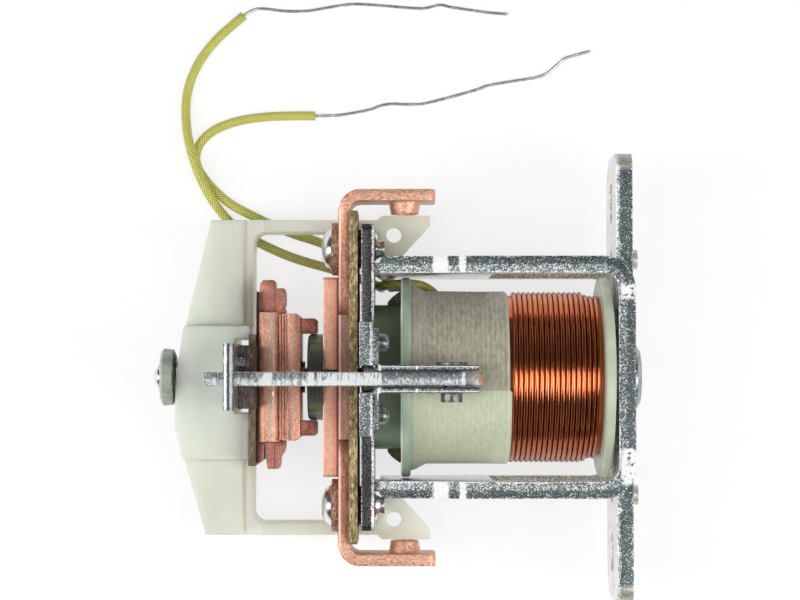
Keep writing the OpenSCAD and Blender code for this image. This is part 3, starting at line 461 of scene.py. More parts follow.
def zinc_lever():
    """The trip lever, sheared all round: ribbed lengths painted bright as highlights between grey
    ones, with painted shade lines along its edges.
    """
    look = Look("zinc_lever")
    sheared = look.below(look.facing("Y"), 0.6, 0.3)
    low_half = look.below(look.torn(look.y, 1.0, 0.8), -0.5, 0.6)
    ribbed_part = look.band(look.x, -63.3, PLATE_FRONT_X, 0.3)
    light = look.total(0.3, look.product(low_half, 0.45), look.product(ribbed_part, 0.3))
    # Painted highlights: near white bands across the edge
    stripes = look.bands(look.torn(look.x, 1.5, 0.5),
                         ((-73.9, -72.1), (-65.1, -63.9), (-35.1, -34.5)), 0.2)
    ribs = look.above(look.noise(3.2, stretch=(1, 12, 12), detail=2.0), 0.47, 0.1)
    half = look.product(look.bands(look.x, ((-83.9, -73.9), (-72.1, -65.1)), 0.5), ribs,
                        look.above(look.noise(1.1), 0.42, 0.1),
                        look.total(0.25, look.product(low_half, 0.75)))
    bright = look.most(stripes, look.product(ribbed_part, ribs), half)

    calm = look.total(0.3, look.product(look.above(look.x, PLATE_FRONT_X, 0.6), 0.1))
    end = look.above(look.x, LEVER_END_X, 0.1)
    # Painted shade: dark lines along both edges
    rim = look.bands(look.y, ((-2.0, -1.62), (0.82, 1.2)), 0.1)
    tone = look.ramp(look.progress(look.y, LEVER_LOW_Y, 1.0), (0.1, (0.4, 0.43, 0.44)),
                     (0.4, (0.26, 0.28, 0.29)), (0.9, (0.13, 0.145, 0.15)))
    tip = look.ramp(look.progress(look.x, LEVER_END_X, -31.8), (0.1, (0.16, 0.16, 0.15)),
                    (0.9, (0.36, 0.35, 0.32)))
    tone = look.mix(end, tone, tip)
    tone = look.mix(look.above(look.x, -31.7, 0.1), tone, (0.42, 0.2, 0.13))
    tone = look.mix(rim, tone, EDGE_SHADE)
    plain = look.most(calm, end, look.product(rim, 0.8))
    zinc_surface(look, sheared, light, bright, 0.1, stretch=(1, 2.5, 1), plain=plain,
                 plain_colour=tone)
    return look.material


def zinc_latch():
    """The latch plate: its rounded upper edge is painted bright, dark and bright across the sheet,
    as highlights and shade.
    """
    look = Look("zinc_latch")
    sheared = look.below(look.facing("X"), 0.6, 0.3)
    x = look.torn(look.x, 1.6, 0.35)
    # Painted highlights on the rounded edge
    bright = look.most(look.band(x, -81.2, -80.6, 0.15),
                       look.product(look.band(x, -80.1, -79.5, 0.15), 0.5))
    # Painted shade: dark lines beside them
    lines = look.bands(x, ((-82.0, -81.2), (-80.6, -80.1), (-79.5, -79.1)), 0.15)
    zinc_surface(look, sheared, 0.3, bright, 0.15, plain=look.product(lines, 0.8),
                 plain_colour=EDGE_SHADE)
    return look.material


def zinc_bracket():
    """The clevis brackets: painted highlights where they bend, grey between painted shade lines
    along the arms.
    """
    look = Look("zinc_bracket")
    sheared = look.above(look.facing("Z"), 0.45, 0.2)
    # Painted highlight at the bend
    bend = look.product(look.band(look.torn(look.x, 1.5, 0.4), -51.6, PLATE_FRONT_X, 0.3),
                        look.band(look.far_y, 1.0, 4.4, 0.6), 0.8)
    # Painted highlight: a bright line across the arms
    spots = look.band(look.x, -44.1, -43.7)
    off_centre = look.math("ABSOLUTE", look.total(look.y, 0.4))
    on_arm = look.above(look.x, PLATE_FRONT_X, 0.3)
    # Painted shade: dark lines along the legs' edges and the gap between them
    dark = look.product(look.bands(off_centre, ((1.0, 1.92), (2.58, 2.9)), 0.1), on_arm)
    # Painted highlight: pale lines along the arms
    pale = look.product(look.band(look.torn(off_centre, 1.6, 0.2), 2.3, 2.52, 0.1), on_arm, 0.7)
    zinc_surface(look, sheared, 0.4, look.most(bend, spots, pale), 0.1,
                 plain=look.product(dark, 0.9), plain_colour=(0.018, 0.022, 0.024))
    return look.material


def zinc_small():
    """Rivet heads, the rod's end and other small parts."""
    look = Look("zinc_small")
    zinc_surface(look, 0.0, 0.5, tint=0.08)
    look.set("roughness", look.ramp(look.noise(2.0), (0.3, 0.12), (0.7, 0.26)))
    return look.material


def pole_steel():
    """The pole plate: dull brown grey edges, with a torn rim of painted glints towards the base.
    """
    look = Look("pole_steel")
    grain = look.noise(2.8, detail=4.0, roughness=0.65)
    fine = look.noise(6.0, detail=2.0)
    level = look.total(look.product(grain, 0.5), look.product(fine, 0.5))
    dull = look.ramp(level, (0.38, (0.018, 0.016, 0.017)), (0.6, (0.075, 0.068, 0.069)))
    silver = look.ramp(level, (0.4, (0.075, 0.09, 0.09)), (0.6, (0.2, 0.225, 0.225)))
    lug = look.above(look.z, 10.0, 0.5)

    # Painted glints: near white flecks, also on the torn rim and the lugs
    flecks = look.product(look.above(fine, 0.66, 0.06), 0.6)
    torn_rim = look.product(look.above(look.torn(look.x, 1.3, 0.6), -53.0, 0.15),
                            look.above(grain, 0.44, 0.08))
    # Painted highlight: a thin bright line along the far edge
    far_rim = look.product(look.band(look.x, -55.3, -54.9, 0.1), look.above(grain, 0.5, 0.1), 0.7)
    lug_light = look.product(lug, look.above(grain, 0.59, 0.1), 0.85)
    pale = look.most(torn_rim, far_rim, lug_light, flecks)

    rolled = look.above(look.facing("X"), 0.6, 0.2)
    sheet = look.ramp(look.noise(0.5, detail=5.0), (0.35, (0.3, 0.31, 0.32)),
                      (0.65, (0.55, 0.56, 0.57)))
    edge = look.mix(pale, look.mix(lug, dull, silver), GLINT_FLECK)
    look.set("base color", look.mix(rolled, edge, sheet))
    look.set("metallic", look.math("SUBTRACT", 0.7, look.product(pale, 0.4)))
    look.set("roughness", look.ramp(grain, (0.3, 0.24), (0.7, 0.4)))
    look.bump(look.total(grain, look.product(fine, 0.5)), 0.08, 0.7)
    return look.material


def dark_steel(name, dark, light):
    """Plain steel, drawn along the part, between a dark and a light tone."""
    look = Look(name, metallic=0.85)
    lines = look.noise(2.4, stretch=(1, 6, 6), detail=4.0)
    grain = look.noise(3.0, detail=4.0)
    level = look.total(look.product(lines, 0.6), look.product(grain, 0.4))
    look.set("base color", look.ramp(level, (0.36, dark), (0.64, light)))
    look.set("roughness", look.ramp(grain, (0.3, 0.22), (0.7, 0.4)))
    look.bump(lines, 0.04, 0.5)
    return look.material


def drawn_brass():
    """The guide tube, with lines along its length."""
    look = Look("drawn_brass", metallic=1.0)
    lines = look.noise(1.5, stretch=(8, 1, 1), detail=4.0)
    look.set("base color", look.ramp(lines, (0.3, (0.6, 0.46, 0.22)), (0.7, (0.8, 0.66, 0.36))))
    look.set("roughness", look.ramp(lines, (0.3, 0.2), (0.7, 0.34)))
    look.bump(lines, 0.03, 0.4)
    return look.material


GLINT_BASE = 0.25


def metal_copper(name, dark, light, streak, rough, sparkle, spots=(), stripes=(), glints=(),
                 metallic=0.55, tabs=None):
    """Rolled or blanked copper, streaked along the axis that streak stretches, with glints painted
    into its colour.

    sparkle says how strong its fine painted glints are, glints where on X they gather as painted
    highlights, stripes which lines run on its front edges, spots where it is darker, and tabs the
    distance from the middle beyond which it is mottled."""
    look = Look(name, metallic=metallic)
    flow = look.noise(1.6, stretch=streak, detail=6.0, roughness=0.62)
    blotch = look.noise(0.3, detail=4.0)
    fine = look.noise(3.4, stretch=[1 + (s - 1) * 0.3 for s in streak], detail=3.0)
    base = look.ramp(look.total(look.product(flow, 0.45), look.product(blotch, 0.2),
                                look.product(fine, 0.35)), (0.4, dark), (0.6, light))
    # Painted highlights: the colour is lighter where the glints gather
    zone = look.most(GLINT_BASE, *[look.peak(look.torn(look.x, 0.6, 0.8), centre, half)
                                   for centre, half in glints])
    if glints:
        lit = look.product(look.math("SUBTRACT", zone, GLINT_BASE), 0.9)
        base = look.mix(lit, base, (0.95, 0.62, 0.48))
    if tabs:
        mottle = look.ramp(look.noise(2.6, stretch=(2, 1, 1), detail=4.0, roughness=0.6),
                           (0.36, (0.5, 0.225, 0.14)), (0.5, (0.83, 0.43, 0.29)),
                           (0.64, (1.0, 0.65, 0.48)))
        base = look.mix(look.product(look.above(look.far_y, tabs, 2.5), 0.9), base, mottle)
    # Painted glints: fine pale flecks
    glint = look.product(look.ramp(fine, (0.48, 0.0), (0.57, 1.0)), sparkle, zone)
    base = look.mix(glint, base, (1.0, 0.77, 0.62))
    on_edge = look.above(look.facing("Z"), 0.6, 0.3)
    for low, high, colour, share in stripes:
        line = look.band(look.torn(look.x, 0.8, 0.12), low, high, 0.12)
        base = look.mix(look.product(line, on_edge, share), base, colour)
    for y, half, low_x, high_x in spots:
        spot = look.product(look.peak(look.torn(look.y, 0.9, 1.6), y, half),
                            look.band(look.x, low_x, high_x, 0.3))
        base = look.mix(look.math("MULTIPLY", spot, 0.9, clamp=True), base, (0.2, 0.05, 0.035))
    look.set("base color", base)
    look.set("roughness", look.ramp(flow, (0.3, rough), (0.7, rough + 0.16)))
    look.bump(look.total(flow, look.product(glint, 1.5)), 0.07, 0.3 + 0.4 * sparkle)
    return look.material


def pressed_fibre(name, dark, middle, light, stretch=(1, 3, 1), share=(0.34, 0.5, 0.64), fine=1.8):
    """Speckled fibre in three tones. share says where on the noise each of them lies."""
    look = Look(name, metallic=0.0)
    strands = look.noise(fine, stretch=stretch, detail=6.0, roughness=0.72)
    waves = look.noise(fine * 0.5, stretch=(0.6, 2.0, 2.0), detail=3.0)
    level = look.total(look.product(strands, 0.75), look.product(waves, 0.25))
    look.set("base color", look.ramp(level, (share[0], dark), (share[1], middle),
                                     (share[2], light)))
    look.set("roughness", look.ramp(strands, (0.3, 0.6), (0.7, 0.4)))
    look.bump(level, 0.16, 0.8)
    return look.material


def washer_moulding():
    """The buffer washer: a light rim on the left painted as a highlight, near black painted shadow
    where it meets the nylon yoke.
    """
    look = Look("washer_moulding", metallic=0.0)
    cloud = look.noise(0.4, detail=3.0)
    body = look.ramp(cloud, (0.35, (0.29, 0.345, 0.275)), (0.65, (0.44, 0.5, 0.41)))
    # Painted highlight on the left rim
    body = look.mix(look.band(look.x, -96.6, -96.0, 0.3), body, (0.52, 0.56, 0.5))
    # Painted shadow: near black towards the nylon yoke
    dark = look.above(look.torn(look.x, 0.5, 0.5), -93.9, 0.25)
    look.set("base color", look.mix(dark, body, (0.012, 0.013, 0.012)))
    look.set("roughness", look.ramp(look.noise(1.2), (0.3, 0.22), (0.7, 0.34)))
    look.bump(look.total(look.noise(3.0, detail=2.0), look.product(cloud, 2.0)), 0.03, 0.3)
    return look.material


def nylon_moulding():
    """Translucent nylon with faint flow marks, lighter and yellower beyond 12 mm from the middle;
    its walls, deep faces and step are painted lighter and glow faintly, as painted light.
    """
    look = Look("natural_nylon", metallic=0.0)
    cloud = look.noise(0.12, stretch=(1, 2.5, 1), detail=2.0)
    flow = look.noise(0.35, stretch=(1, 5, 1), detail=3.0)
    level = look.total(look.product(cloud, 0.7), look.product(flow, 0.3))
    body = look.ramp(level, (0.38, (0.63, 0.675, 0.58)), (0.62, (0.72, 0.76, 0.665)))
    upper = look.above(look.far_y, 12.0, 6.0)
    body = look.mix(look.product(upper, 0.5), body, (0.76, 0.78, 0.66))
    # Painted light: walls and deep faces, which lie in shade, are lighter and glow
    rim = look.product(look.below(look.facing("Z"), 0.5, 0.3), look.above(look.x, -82.5, 1.0))
    deep = look.below(look.z, -2.0, 4.0)
    lit = look.math("MULTIPLY", look.total(rim, look.product(deep, 0.7)), 0.8, clamp=True)
    body = look.mix(lit, body, (0.8, 0.83, 0.67))
    # Painted light: the step's valley is lighter
    step = look.product(look.band(look.x, -79.4, -76.0, 0.3), look.above(look.far_y, 9.0, 1.0))
    body = look.mix(step, body, (0.93, 0.95, 0.84))
    # The glow stands in for light on shaded faces
    look.set("emission color", (0.9, 0.95, 0.78))
    look.set("emission strength", look.product(lit, 0.1))
    look.set("base color", body)
    look.set("roughness", look.ramp(look.noise(1.0), (0.3, 0.36), (0.7, 0.48)))
    look.set("subsurface weight", 0.8)
    look.set("subsurface radius", (1.0, 1.05, 0.85))
    look.set("subsurface scale", 5 * MM)
    look.bump(look.total(look.noise(2.0, detail=2.0), look.product(flow, 2.0)), 0.02, 0.3)
    return look.material


def bobbin_moulding():
    """Sage flanges; the neck at the left is painted darker as shade, darkest towards +Y."""
    look = Look("sage_moulding", metallic=0.0)
    cloud = look.noise(0.18, detail=3.0)
    flange = look.ramp(cloud, (0.35, (0.34, 0.43, 0.315)), (0.65, (0.41, 0.505, 0.375)))
    flange = look.mix(look.band(look.x, -47.2, -46.7, 0.1), flange, (0.75, 0.82, 0.7))
    right = look.ramp(cloud, (0.35, (0.52, 0.57, 0.43)), (0.65, (0.62, 0.66, 0.52)))
    flange = look.mix(look.above(look.x, -20.0, 1.0), flange, right)
    neck = look.below(look.x, -47.1, 0.1)
    # Painted shade on the neck
    shade = look.ramp(look.progress(look.y, -16.0, 16.0), (0.1, (0.22, 0.29, 0.195)),
                      (0.9, (0.085, 0.125, 0.065)))
    look.set("base color", look.mix(neck, flange, shade))
    look.set("roughness", look.ramp(look.noise(1.2), (0.3, 0.3), (0.7, 0.42)))
    look.bump(look.total(look.noise(3.0, detail=2.0), look.product(cloud, 2.0)), 0.02, 0.3)
    return look.material


def turned_bush():
    """The guide bush, with turning lines: painted shade, dark in the middle and olive towards its
    edges, and lighter rims painted as highlights.
    """
    look = Look("turned_bush", metallic=0.25)
    lines = look.noise(4.0, stretch=(1, 30, 30), detail=3.0)
    # Painted shade across the round
    shade = look.ramp(look.progress(look.far_y, 0.0, 8.0), (0.3, (0.09, 0.08, 0.07)),
                      (0.6, (0.13, 0.14, 0.11)), (0.8, (0.19, 0.22, 0.1)))
    base = look.mix(0.6, shade, look.ramp(lines, (0.35, 0.4), (0.65, 1.0)), "MULTIPLY")
    # Painted highlight on the rims
    rim = look.above(look.far_y, 7.1, 0.3)
    look.set("base color", look.mix(rim, base, (0.27, 0.31, 0.28)))
    look.set("roughness", look.ramp(lines, (0.3, 0.26), (0.7, 0.42)))
    look.bump(lines, 0.04, 0.5)
    return look.material


def enamel_wire():
    """Enamelled copper wire, painted darker towards the lower side of the coil as shade."""
    look = Look("enamelled_wire", metallic=1.0)
    along = look.noise(0.5, stretch=(0.5, 2.5, 2.5), detail=4.0)
    base = look.ramp(along, (0.35, (0.5, 0.145, 0.06)), (0.65, (0.64, 0.21, 0.09)))
    # Painted shade on the coil's lower side
    low = look.below(look.y, -10.5, 5.0)
    look.set("base color", look.mix(look.product(low, 0.6), base, (0.26, 0.075, 0.04)))
    look.set("roughness", look.ramp(look.noise(1.5, detail=3.0), (0.3, 0.16), (0.7, 0.22)))
    look.bump(look.noise(1.2, detail=3.0), 0.02, 0.2)
    return look.material


LAP_Y = -2.7
RIB = 0.975
WARP_RATE = 12.6
WEFT_RATE = 1100.0


def woven_tape():
    """Woven tape round the coil, grey brown and ribbed above its lap, pale and smooth below it."""
    look = Look("woven_tape", metallic=0.0)
    below = look.below(look.y, LAP_Y, 0.12)
    above_lap = look.flip(look.product(below, 0.75))
    weave = look.product(look.wave(look.product(look.axis(look.uv, "X"), WARP_RATE)),
                         look.wave(look.product(look.axis(look.uv, "Y"), WEFT_RATE)))
    ribs = look.wave(look.product(look.torn(look.x, 0.3, 0.4), math.tau / RIB))
    broken = look.above(look.noise(1.3, stretch=(1, 2, 2), detail=3.0), 0.44, 0.16)
    lines = look.product(look.ramp(ribs, (0.7, 0.0), (1.0, 1.0)), broken, above_lap)
    mottled = look.noise(1.2, stretch=(1, 2.2, 2.2), detail=5.0, roughness=0.65)
    brown = look.ramp(mottled, (0.36, (0.38, 0.35, 0.26)), (0.5, (0.5, 0.475, 0.365)),
                      (0.64, (0.58, 0.565, 0.45)))
    pale = look.ramp(mottled, (0.35, (0.56, 0.61, 0.42)), (0.65, (0.66, 0.71, 0.51)))
    left_shade = look.below(look.x, -42.2, 2.4)
    base = look.mix(below, brown, pale)
    base = look.mix(look.product(left_shade, 0.45), base, (0.4, 0.41, 0.33))
    base = look.mix(look.product(lines, 0.6), base, (0.26, 0.23, 0.17))
    base = look.mix(look.product(above_lap, 0.22), base,
                    look.ramp(weave, (0.0, 0.4), (1.0, 1.0)), "MULTIPLY")
    edge = look.above(look.x, -25.6, 0.2)
    base = look.mix(look.product(edge, 0.5), base, (0.75, 0.76, 0.6))
    look.set("base color", base)
    look.set("roughness", 0.55)
    look.set("sheen weight", 0.2)
    look.bump(look.total(look.product(weave, above_lap), look.product(lines, -1.5),
                         look.product(mottled, 1.2)), 0.035, 0.6)
    return look.material


BRAID_RATE = 8.2
BRAID_STRANDS = 9


def braid():
    """Braided sleeving: two families of strands that cross on the tube, painted paler beyond Y 31
    as painted light.
    """
    look = Look("braided_sleeving", metallic=0.0)
    x = look.product(look.axis(look.uv, "X"), BRAID_RATE)
    turn = look.product(look.axis(look.uv, "Y"), math.tau * BRAID_STRANDS)
    strands = look.most(look.wave(look.total(x, turn)), look.wave(look.math("SUBTRACT", x, turn)))
    tone = look.ramp(strands, (0.0, (0.16, 0.15, 0.015)), (0.5, (0.44, 0.43, 0.06)),
                     (1.0, (0.74, 0.74, 0.2)))
    # Painted light: a lighter copy of the tone beyond Y 31
    painted_light_zone = look.above(look.y, 31.0, 4.0)
    lit_tone = look.ramp(strands, (0.0, (0.34, 0.32, 0.03)), (0.5, (0.54, 0.53, 0.06)),
                         (0.85, (0.8, 0.79, 0.15)), (1.0, (0.92, 0.91, 0.3)))
    tone = look.mix(painted_light_zone, tone, lit_tone)
    base = look.mix(0.3, tone, look.ramp(look.noise(0.7, detail=4.0), (0.3, 0.6), (0.7, 1.0)),
                    "MULTIPLY")
    look.set("base color", base)
    look.set("roughness", 0.4)
    look.set("coat weight", 0.35)
    look.set("coat roughness", 0.3)
    look.bump(strands, 0.05, 0.6)
    return look.material


def tinned():
    """Bare tinned wire, slightly uneven."""
    look = Look("tinned_wire", metallic=0.75)
    grain = look.noise(0.7, detail=4.0)
    look.set("base color", look.ramp(grain, (0.35, (0.55, 0.55, 0.55)), (0.65, (0.8, 0.8, 0.79))))
    look.set("roughness", look.ramp(grain, (0.3, 0.18), (0.7, 0.3)))
    look.bump(grain, 0.02, 0.3)
    return look.material


# Stripes are (from X, to X, colour, share), spots (Y, half height, from X, to X)
# Dark lines are joints between parts; light lines are painted highlights along rims
COPPER_EDGE = ((-59.95, -59.72, (0.24, 0.045, 0.03), 0.85),
               (-59.7, -59.3, (0.98, 0.66, 0.54), 0.8))
CLIP_LINES = ((-76.3, -75.9, (0.6, 0.28, 0.2), 0.6), (-73.1, -72.9, (0.16, 0.05, 0.035), 0.7))
FIXED_LINES = ((-60.8, -60.2, (0.72, 0.27, 0.17), 0.6), (-60.2, -59.8, (0.24, 0.045, 0.03), 0.9),
               (-63.1, -62.7, (0.98, 0.7, 0.58), 0.7))
# Darker patches on the terminals' risers
DARK_PATCHES = ((13.2, 3.0, -60, -57.8), (-13.2, 3.0, -60, -57.8))
# Places of painted highlights on the contact stack
STACK_GLINTS = ((-73.6, 1.8), (-70.6, 0.9), (-69.1, 0.7))

LOOKS = {
    "zinc_plate": zinc_small(),
    "steel": dark_steel("dark_steel", (0.16, 0.16, 0.17), (0.5, 0.51, 0.53)),
    "brass_tube": drawn_brass(),
    "bobbin_plastic": bobbin_moulding(),
    "brown_fibre": pressed_fibre("brown_fibre", (0.06, 0.028, 0.018), (0.16, 0.075, 0.045),
                                 (0.33, 0.19, 0.12)),
    "fibre_board": pressed_fibre("fibre_board", (0.1, 0.065, 0.025), (0.28, 0.2, 0.085),
                                 (0.74, 0.6, 0.28), stretch=(0.8, 2.6, 1), share=(0.4, 0.5, 0.6),
                                 fine=2.4),
    "enamelled_wire": enamel_wire(),
    "tape": woven_tape(),
    "copper": metal_copper("rolled_copper", (0.34, 0.125, 0.075), (0.78, 0.38, 0.25), (1, 8, 1),
                           0.34, 0.4, spots=DARK_PATCHES, stripes=COPPER_EDGE, tabs=33.0),
    "red_copper": metal_copper("blanked_copper", (0.6, 0.22, 0.13), (0.96, 0.47, 0.31),
                               (1, 2.5, 1), 0.3, 1.0, glints=STACK_GLINTS),
    "nylon": nylon_moulding(),
    "braided_sleeve": braid(),
    "tinned_wire": tinned(),
}
pin_steel = dark_steel("pin_steel", (0.06, 0.058, 0.05), (0.26, 0.26, 0.25))
fixed_copper = metal_copper("fixed_contact_copper", (0.7, 0.32, 0.22), (0.92, 0.51, 0.37),
                            (1, 2.2, 1), 0.42, 0.3, stripes=FIXED_LINES)
clip_copper = metal_copper("clip_copper", (0.37, 0.13, 0.09), (0.6, 0.26, 0.19), (1, 2, 1), 0.34,
                           0.25, stripes=CLIP_LINES)
bracket = zinc_bracket()
NODE_LOOKS = {
    "yoke_frame": zinc_yoke(),
    "trip_lever": zinc_lever(),
    "latch_plate": zinc_latch(),
    "upper_clevis_bracket": bracket,
    "lower_clevis_bracket": bracket,
    "pole_plate": pole_steel(),
    "pivot_pin": pin_steel,
    "pin_clip": pin_steel,
    "clevis_rivets": dark_steel("rivet_steel", (0.12, 0.13, 0.125), (0.36, 0.38, 0.37)),
    "backing_shim": dark_steel("shim_steel", (0.02, 0.015, 0.01), (0.07, 0.055, 0.045)),
    "upper_fixed_contact": fixed_copper,
    "lower_fixed_contact": fixed_copper,
    "upper_clip": clip_copper,
    "lower_clip": clip_copper,
    "contact_tips": metal_copper("tip_copper", (0.2, 0.05, 0.032), (0.37, 0.115, 0.075), (1, 1, 1),
                                 0.3, 0.3),
    "guide_bush": turned_bush(),
    "buffer_washer": washer_moulding(),
    "contact_spacer": metal_copper("spacer_fibre", (0.3, 0.125, 0.09), (0.56, 0.3, 0.23),
                                   (1, 5, 1), 0.42, 0.1, stripes=COPPER_EDGE, metallic=0.0),
    "flange_insulator": pressed_fibre("dark_fibre", (0.03, 0.02, 0.01), (0.075, 0.055, 0.025),
                                      (0.14, 0.11, 0.06)),
    "rivet_washers": pressed_fibre("washer_fibre", (0.13, 0.05, 0.03), (0.32, 0.16, 0.1),
                                   (0.74, 0.5, 0.36), share=(0.4, 0.5, 0.6), fine=2.6),
    "fibre_backing": pressed_fibre("backing_fibre", (0.05, 0.03, 0.015), (0.13, 0.085, 0.045),
                                   (0.3, 0.21, 0.12)),
    "latch_block": pressed_fibre("block_fibre", (0.014, 0.011, 0.008), (0.06, 0.044, 0.032),
                                 (0.22, 0.17, 0.12)),
    "thin_leaves": metal_copper("leaf_copper", (0.38, 0.13, 0.085), (0.75, 0.36, 0.26), (1, 6, 1),
                                0.3, 0.3),
}


def dress(obj, look):
    """Gives the object one look, in place of its materials."""
    obj.data.materials.clear()
    obj.data.materials.append(look)


EDGE_WIDTH = {"sliding_yoke": 0.35, "yoke_frame": 0.3, "upper_terminal": 0.3,
              "lower_terminal": 0.3, "pin_clip": 0.08, "backing_shim": 0.05,
              "thin_leaves": 0.1, "inner_winding": 0.05, "core_washer": 0.05}
USUAL_EDGE_WIDTH = 0.15
SHARP_ANGLE = math.radians(40)


def soften_edges(obj, width_mm):
    """Joins the imported faces and rounds the sharp edges a little."""
    weld = obj.modifiers.new("weld", "WELD")
    weld.merge_threshold = 1e-6
    bevel = obj.modifiers.new("edges", "BEVEL")
    bevel.width = width_mm * MM
    bevel.segments = 3
    bevel.limit_method = "ANGLE"
    bevel.angle_limit = SHARP_ANGLE
    bevel.harden_normals = True
    for polygon in obj.data.polygons:
        polygon.use_smooth = True


SLOTS = {entry["node"]: entry["material_slot"] for entry in frame["record"]["subparts"]}
for node, obj in frame["nodes"].items():
    slot_name = SLOTS[node]
    dress(obj, NODE_LOOKS.get(node, LOOKS[slot_name]))
    soften_edges(obj, EDGE_WIDTH.get(node, USUAL_EDGE_WIDTH))
for obj, kind in leads:
    dress(obj, LOOKS[kind])


# Wound and woven pieces

def box_mm(node):
    low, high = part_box(node)
    return low / MM, high / MM


def place_piece(obj, slot, node):
    """Dresses a wound or woven piece and puts it in the place of its solid."""
    dress(obj, LOOKS[slot])
    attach(obj, "frame")
    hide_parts(node)


TURNS = 17
TURN_STEPS = 48
DROPPED_TURNS = 3
TURN_DROP = 0.75
COIL_WIRE_R = 0.5
SOLID_WIRE_R = 0.3
END_ROOM = 0.15


def make_turns():
    """The exposed turns at the full thickness of the real wire."""
    low, high = box_mm("outer_turns")
    start = low[0] + SOLID_WIRE_R
    pitch = (high[0] - start - END_ROOM) / TURNS
    radius = high[1] - COIL_WIRE_R
    route = []
    for i in range(TURNS * TURN_STEPS + 1):
        turn = i / TURN_STEPS
        r = radius - TURN_DROP * min(1.0, max(0.0, turn - (TURNS - DROPPED_TURNS)))
        angle = math.tau * (turn + 0.5)
        route.append(Vector((start + pitch * turn, r * math.sin(angle), r * math.cos(angle))))
    obj = swept_tube("coil_turns", route, [COIL_WIRE_R] * len(route), 12, seed=(1, 0, 0))
    place_piece(obj, "enamelled_wire", "outer_turns")


TAPE_INNER_R = 17.1
TAPE_OUTER_R = 17.72
TAPE_ROWS = 110
TAPE_SIDES = 320
TAPE_UV_STEP = 0.18
FLARE_LENGTH = 3.6
LAP_ANGLE = math.radians(-9.0)
LAP_HEIGHT = 0.16
LAP_LENGTH = 0.45
LAP_EDGE = 0.02
LAP_FADE = 1.2
LEAD_BULGES = ((-38.9, 123), (-40.6, 133))
BULGE_HEIGHT = 1.3
BULGE_DEGREES = 5.5


def make_tape():
    """The tape wrap, with the turns showing through and its end lapped over itself."""
    low, high = box_mm("tape_wrap")
    left, right, flare = low[0], high[0], high[1]
    rng = random.Random(4)
    phases = [rng.uniform(0, math.tau) for _ in range(6)]
    vertices, faces, uvs = [], [], []
    for j in range(TAPE_SIDES):
        angle = math.tau * j / TAPE_SIDES
        y, z = math.sin(angle), math.cos(angle)
        over = (LAP_ANGLE - angle) % math.tau
        lapped = max(0.0, min(1.0, over / LAP_EDGE, (math.pi - over) / LAP_FADE))
        end = right + LAP_LENGTH * lapped
        for i in range(TAPE_ROWS + 1):
            s = i / TAPE_ROWS
            x = left + (end - left) * s
            ribs = 0.02 * math.sin(math.tau * x / RIB)
            wave = 0.03 * math.sin(2 * angle + phases[0] + 0.4 * x) \
                + 0.025 * math.sin(5 * angle + phases[1] - 0.3 * x)
            r = TAPE_OUTER_R + LAP_HEIGHT * lapped + ribs * (1 - 0.7 * lapped) + wave
            ramp = min(1.0, (x - left) / FLARE_LENGTH)
            r += (flare - TAPE_OUTER_R) * (1 - ramp) ** 2 * (1 + 2 * ramp)
            for bulge_x, bulge_angle in LEAD_BULGES:
                across = (math.degrees(angle) - bulge_angle) / BULGE_DEGREES
                along = (x - bulge_x) / (0.9 if x > bulge_x else 1.6)
                r += BULGE_HEIGHT * math.exp(-across * across - along ** 4)
            rounded = min(1.0, (1 - s) * TAPE_ROWS / 3)
            r = TAPE_INNER_R + (r - TAPE_INNER_R) * (0.35 + 0.65 * rounded)
            vertices.append((x, r * y, r * z))
        vertices.append((end, TAPE_INNER_R * y, TAPE_INNER_R * z))
    count = TAPE_ROWS + 2
    for j in range(TAPE_SIDES):
        k = (j + 1) % TAPE_SIDES
        for i in range(count - 1):
            faces.append((j * count + i, j * count + i + 1, k * count + i + 1, k * count + i))
            low_v, high_v = j / TAPE_SIDES, (j + 1) / TAPE_SIDES
            uvs += [(i * TAPE_UV_STEP, low_v), ((i + 1) * TAPE_UV_STEP, low_v),
                    ((i + 1) * TAPE_UV_STEP, high_v), (i * TAPE_UV_STEP, high_v)]
    place_piece(new_object("tape_weave", vertices, faces, uvs=uvs), "tape", "tape_wrap")


SPRING_WIRE_R = 0.35
SPRING_TURNS = 7
SPRING_STEPS = 24


def make_spring():
    """The return spring, a fixed steel helix; the real one closes up as the plunger moves in."""
    low, high = box_mm("return_spring")
    radius = high[1] - SPRING_WIRE_R
    length = high[0] - low[0] - 2 * SPRING_WIRE_R
    route = []
    for i in range(SPRING_TURNS * SPRING_STEPS + 1):
        turn = i / SPRING_STEPS
        angle = math.tau * turn
        route.append(Vector((low[0] + SPRING_WIRE_R + length * turn / SPRING_TURNS,
                             radius * math.sin(angle), radius * math.cos(angle))))
    obj = swept_tube("plunger_spring", route, [SPRING_WIRE_R] * len(route), 10, seed=(1, 0, 0))
    place_piece(obj, "steel", "return_spring")
    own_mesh(obj)


make_turns()
make_tape()
make_spring()


# Floor, lamps and surroundings

FLOOR_HALF = 3000.0
FLOOR_GLOW = 0.72
COIL_CENTRE = (-47, 0, 0)


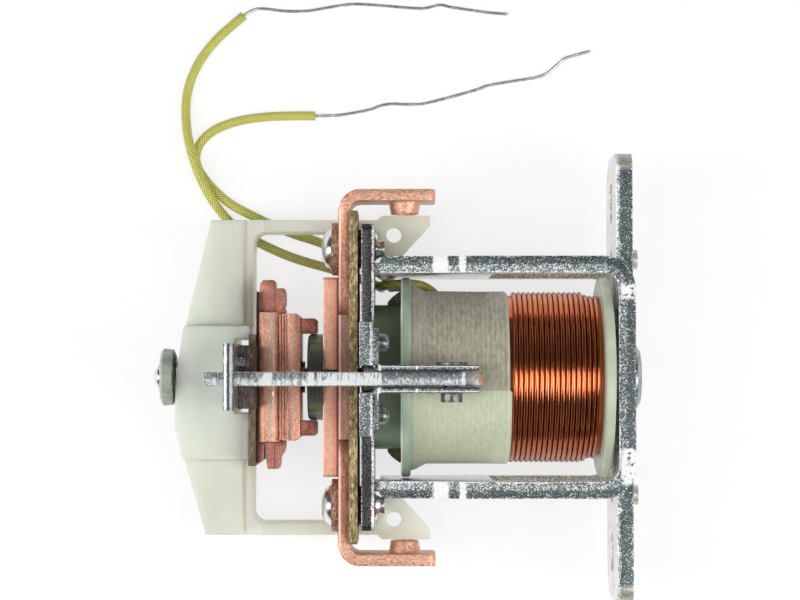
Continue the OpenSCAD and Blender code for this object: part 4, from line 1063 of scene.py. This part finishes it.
def make_floor():
    """A pale floor, white to the camera and to reflections, that keeps the part's shadow."""
    half, z = FLOOR_HALF, FLOOR_Z - 0.1
    floor = new_object("floor", [(-half, -half, z), (half, -half, z), (half, half, z),
                                 (-half, half, z)], [(0, 1, 2, 3)], smooth=False)
    look = Look("floor", roughness=0.9, specular_ior_level=0.0, emission_color=(1.0, 1.0, 1.0))
    path = look.nodes.new("ShaderNodeLightPath").outputs
    seen = look.most(path["Is Camera Ray"], path["Is Glossy Ray"], path["Is Transmission Ray"])
    look.set("emission strength", look.product(seen, FLOOR_GLOW))
    look.set("base color", look.mix(seen, (0.9, 0.9, 0.9), (0.32, 0.32, 0.32)))
    floor.data.materials.append(look.material)


def make_lamp(name, place, size, watts, mirrored=True):
    """An area lamp that points at the coil. mirrored says whether reflections show it."""
    data = bpy.data.lights.new(name, "AREA")
    data.shape = "RECTANGLE"
    data.size, data.size_y = size[0] * MM, size[1] * MM
    data.energy = watts
    lamp = bpy.data.objects.new(name, data)
    lamp.location = mm(*place)
    aim = mm(*COIL_CENTRE) - lamp.location
    lamp.rotation_euler = aim.to_track_quat("-Z", "Y").to_euler()
    lamp.visible_glossy = mirrored
    bpy.context.scene.collection.objects.link(lamp)


def make_world():
    """Pale at the horizon and below, dark grey above, and plain white to the camera."""
    world = bpy.data.worlds.new("studio")
    world.use_nodes = True
    nodes, links = world.node_tree.nodes, world.node_tree.links
    place = nodes.new("ShaderNodeTexCoord")
    split = nodes.new("ShaderNodeSeparateXYZ")
    ramp = nodes.new("ShaderNodeValToRGB")
    low, high = ramp.color_ramp.elements
    low.position, low.color = 0.06, (0.95, 0.95, 0.95, 1)
    high.position, high.color = 0.3, (0.07, 0.07, 0.075, 1)
    grey = nodes["Background"]
    white = nodes.new("ShaderNodeBackground")
    white.inputs["Color"].default_value = (1, 1, 1, 1)
    path = nodes.new("ShaderNodeLightPath")
    mixer = nodes.new("ShaderNodeMixShader")
    for source, socket in ((place.outputs["Generated"], split.inputs[0]),
                           (split.outputs["Z"], ramp.inputs[0]),
                           (ramp.outputs[0], grey.inputs["Color"]),
                           (path.outputs["Is Camera Ray"], mixer.inputs[0]),
                           (grey.outputs[0], mixer.inputs[1]), (white.outputs[0], mixer.inputs[2]),
                           (mixer.outputs[0], nodes["World Output"].inputs["Surface"])):
        links.new(source, socket)
    bpy.context.scene.world = world


make_floor()
make_lamp("left softbox", (-400, -40, 380), (220, 620), 1.6)
make_lamp("right softbox", (310, -80, 380), (220, 620), 1.6)
make_lamp("top fill", (-47, -30, 480), (300, 300), 0.5, mirrored=False)
make_world()
bpy.context.scene.view_settings.view_transform = "Standard"
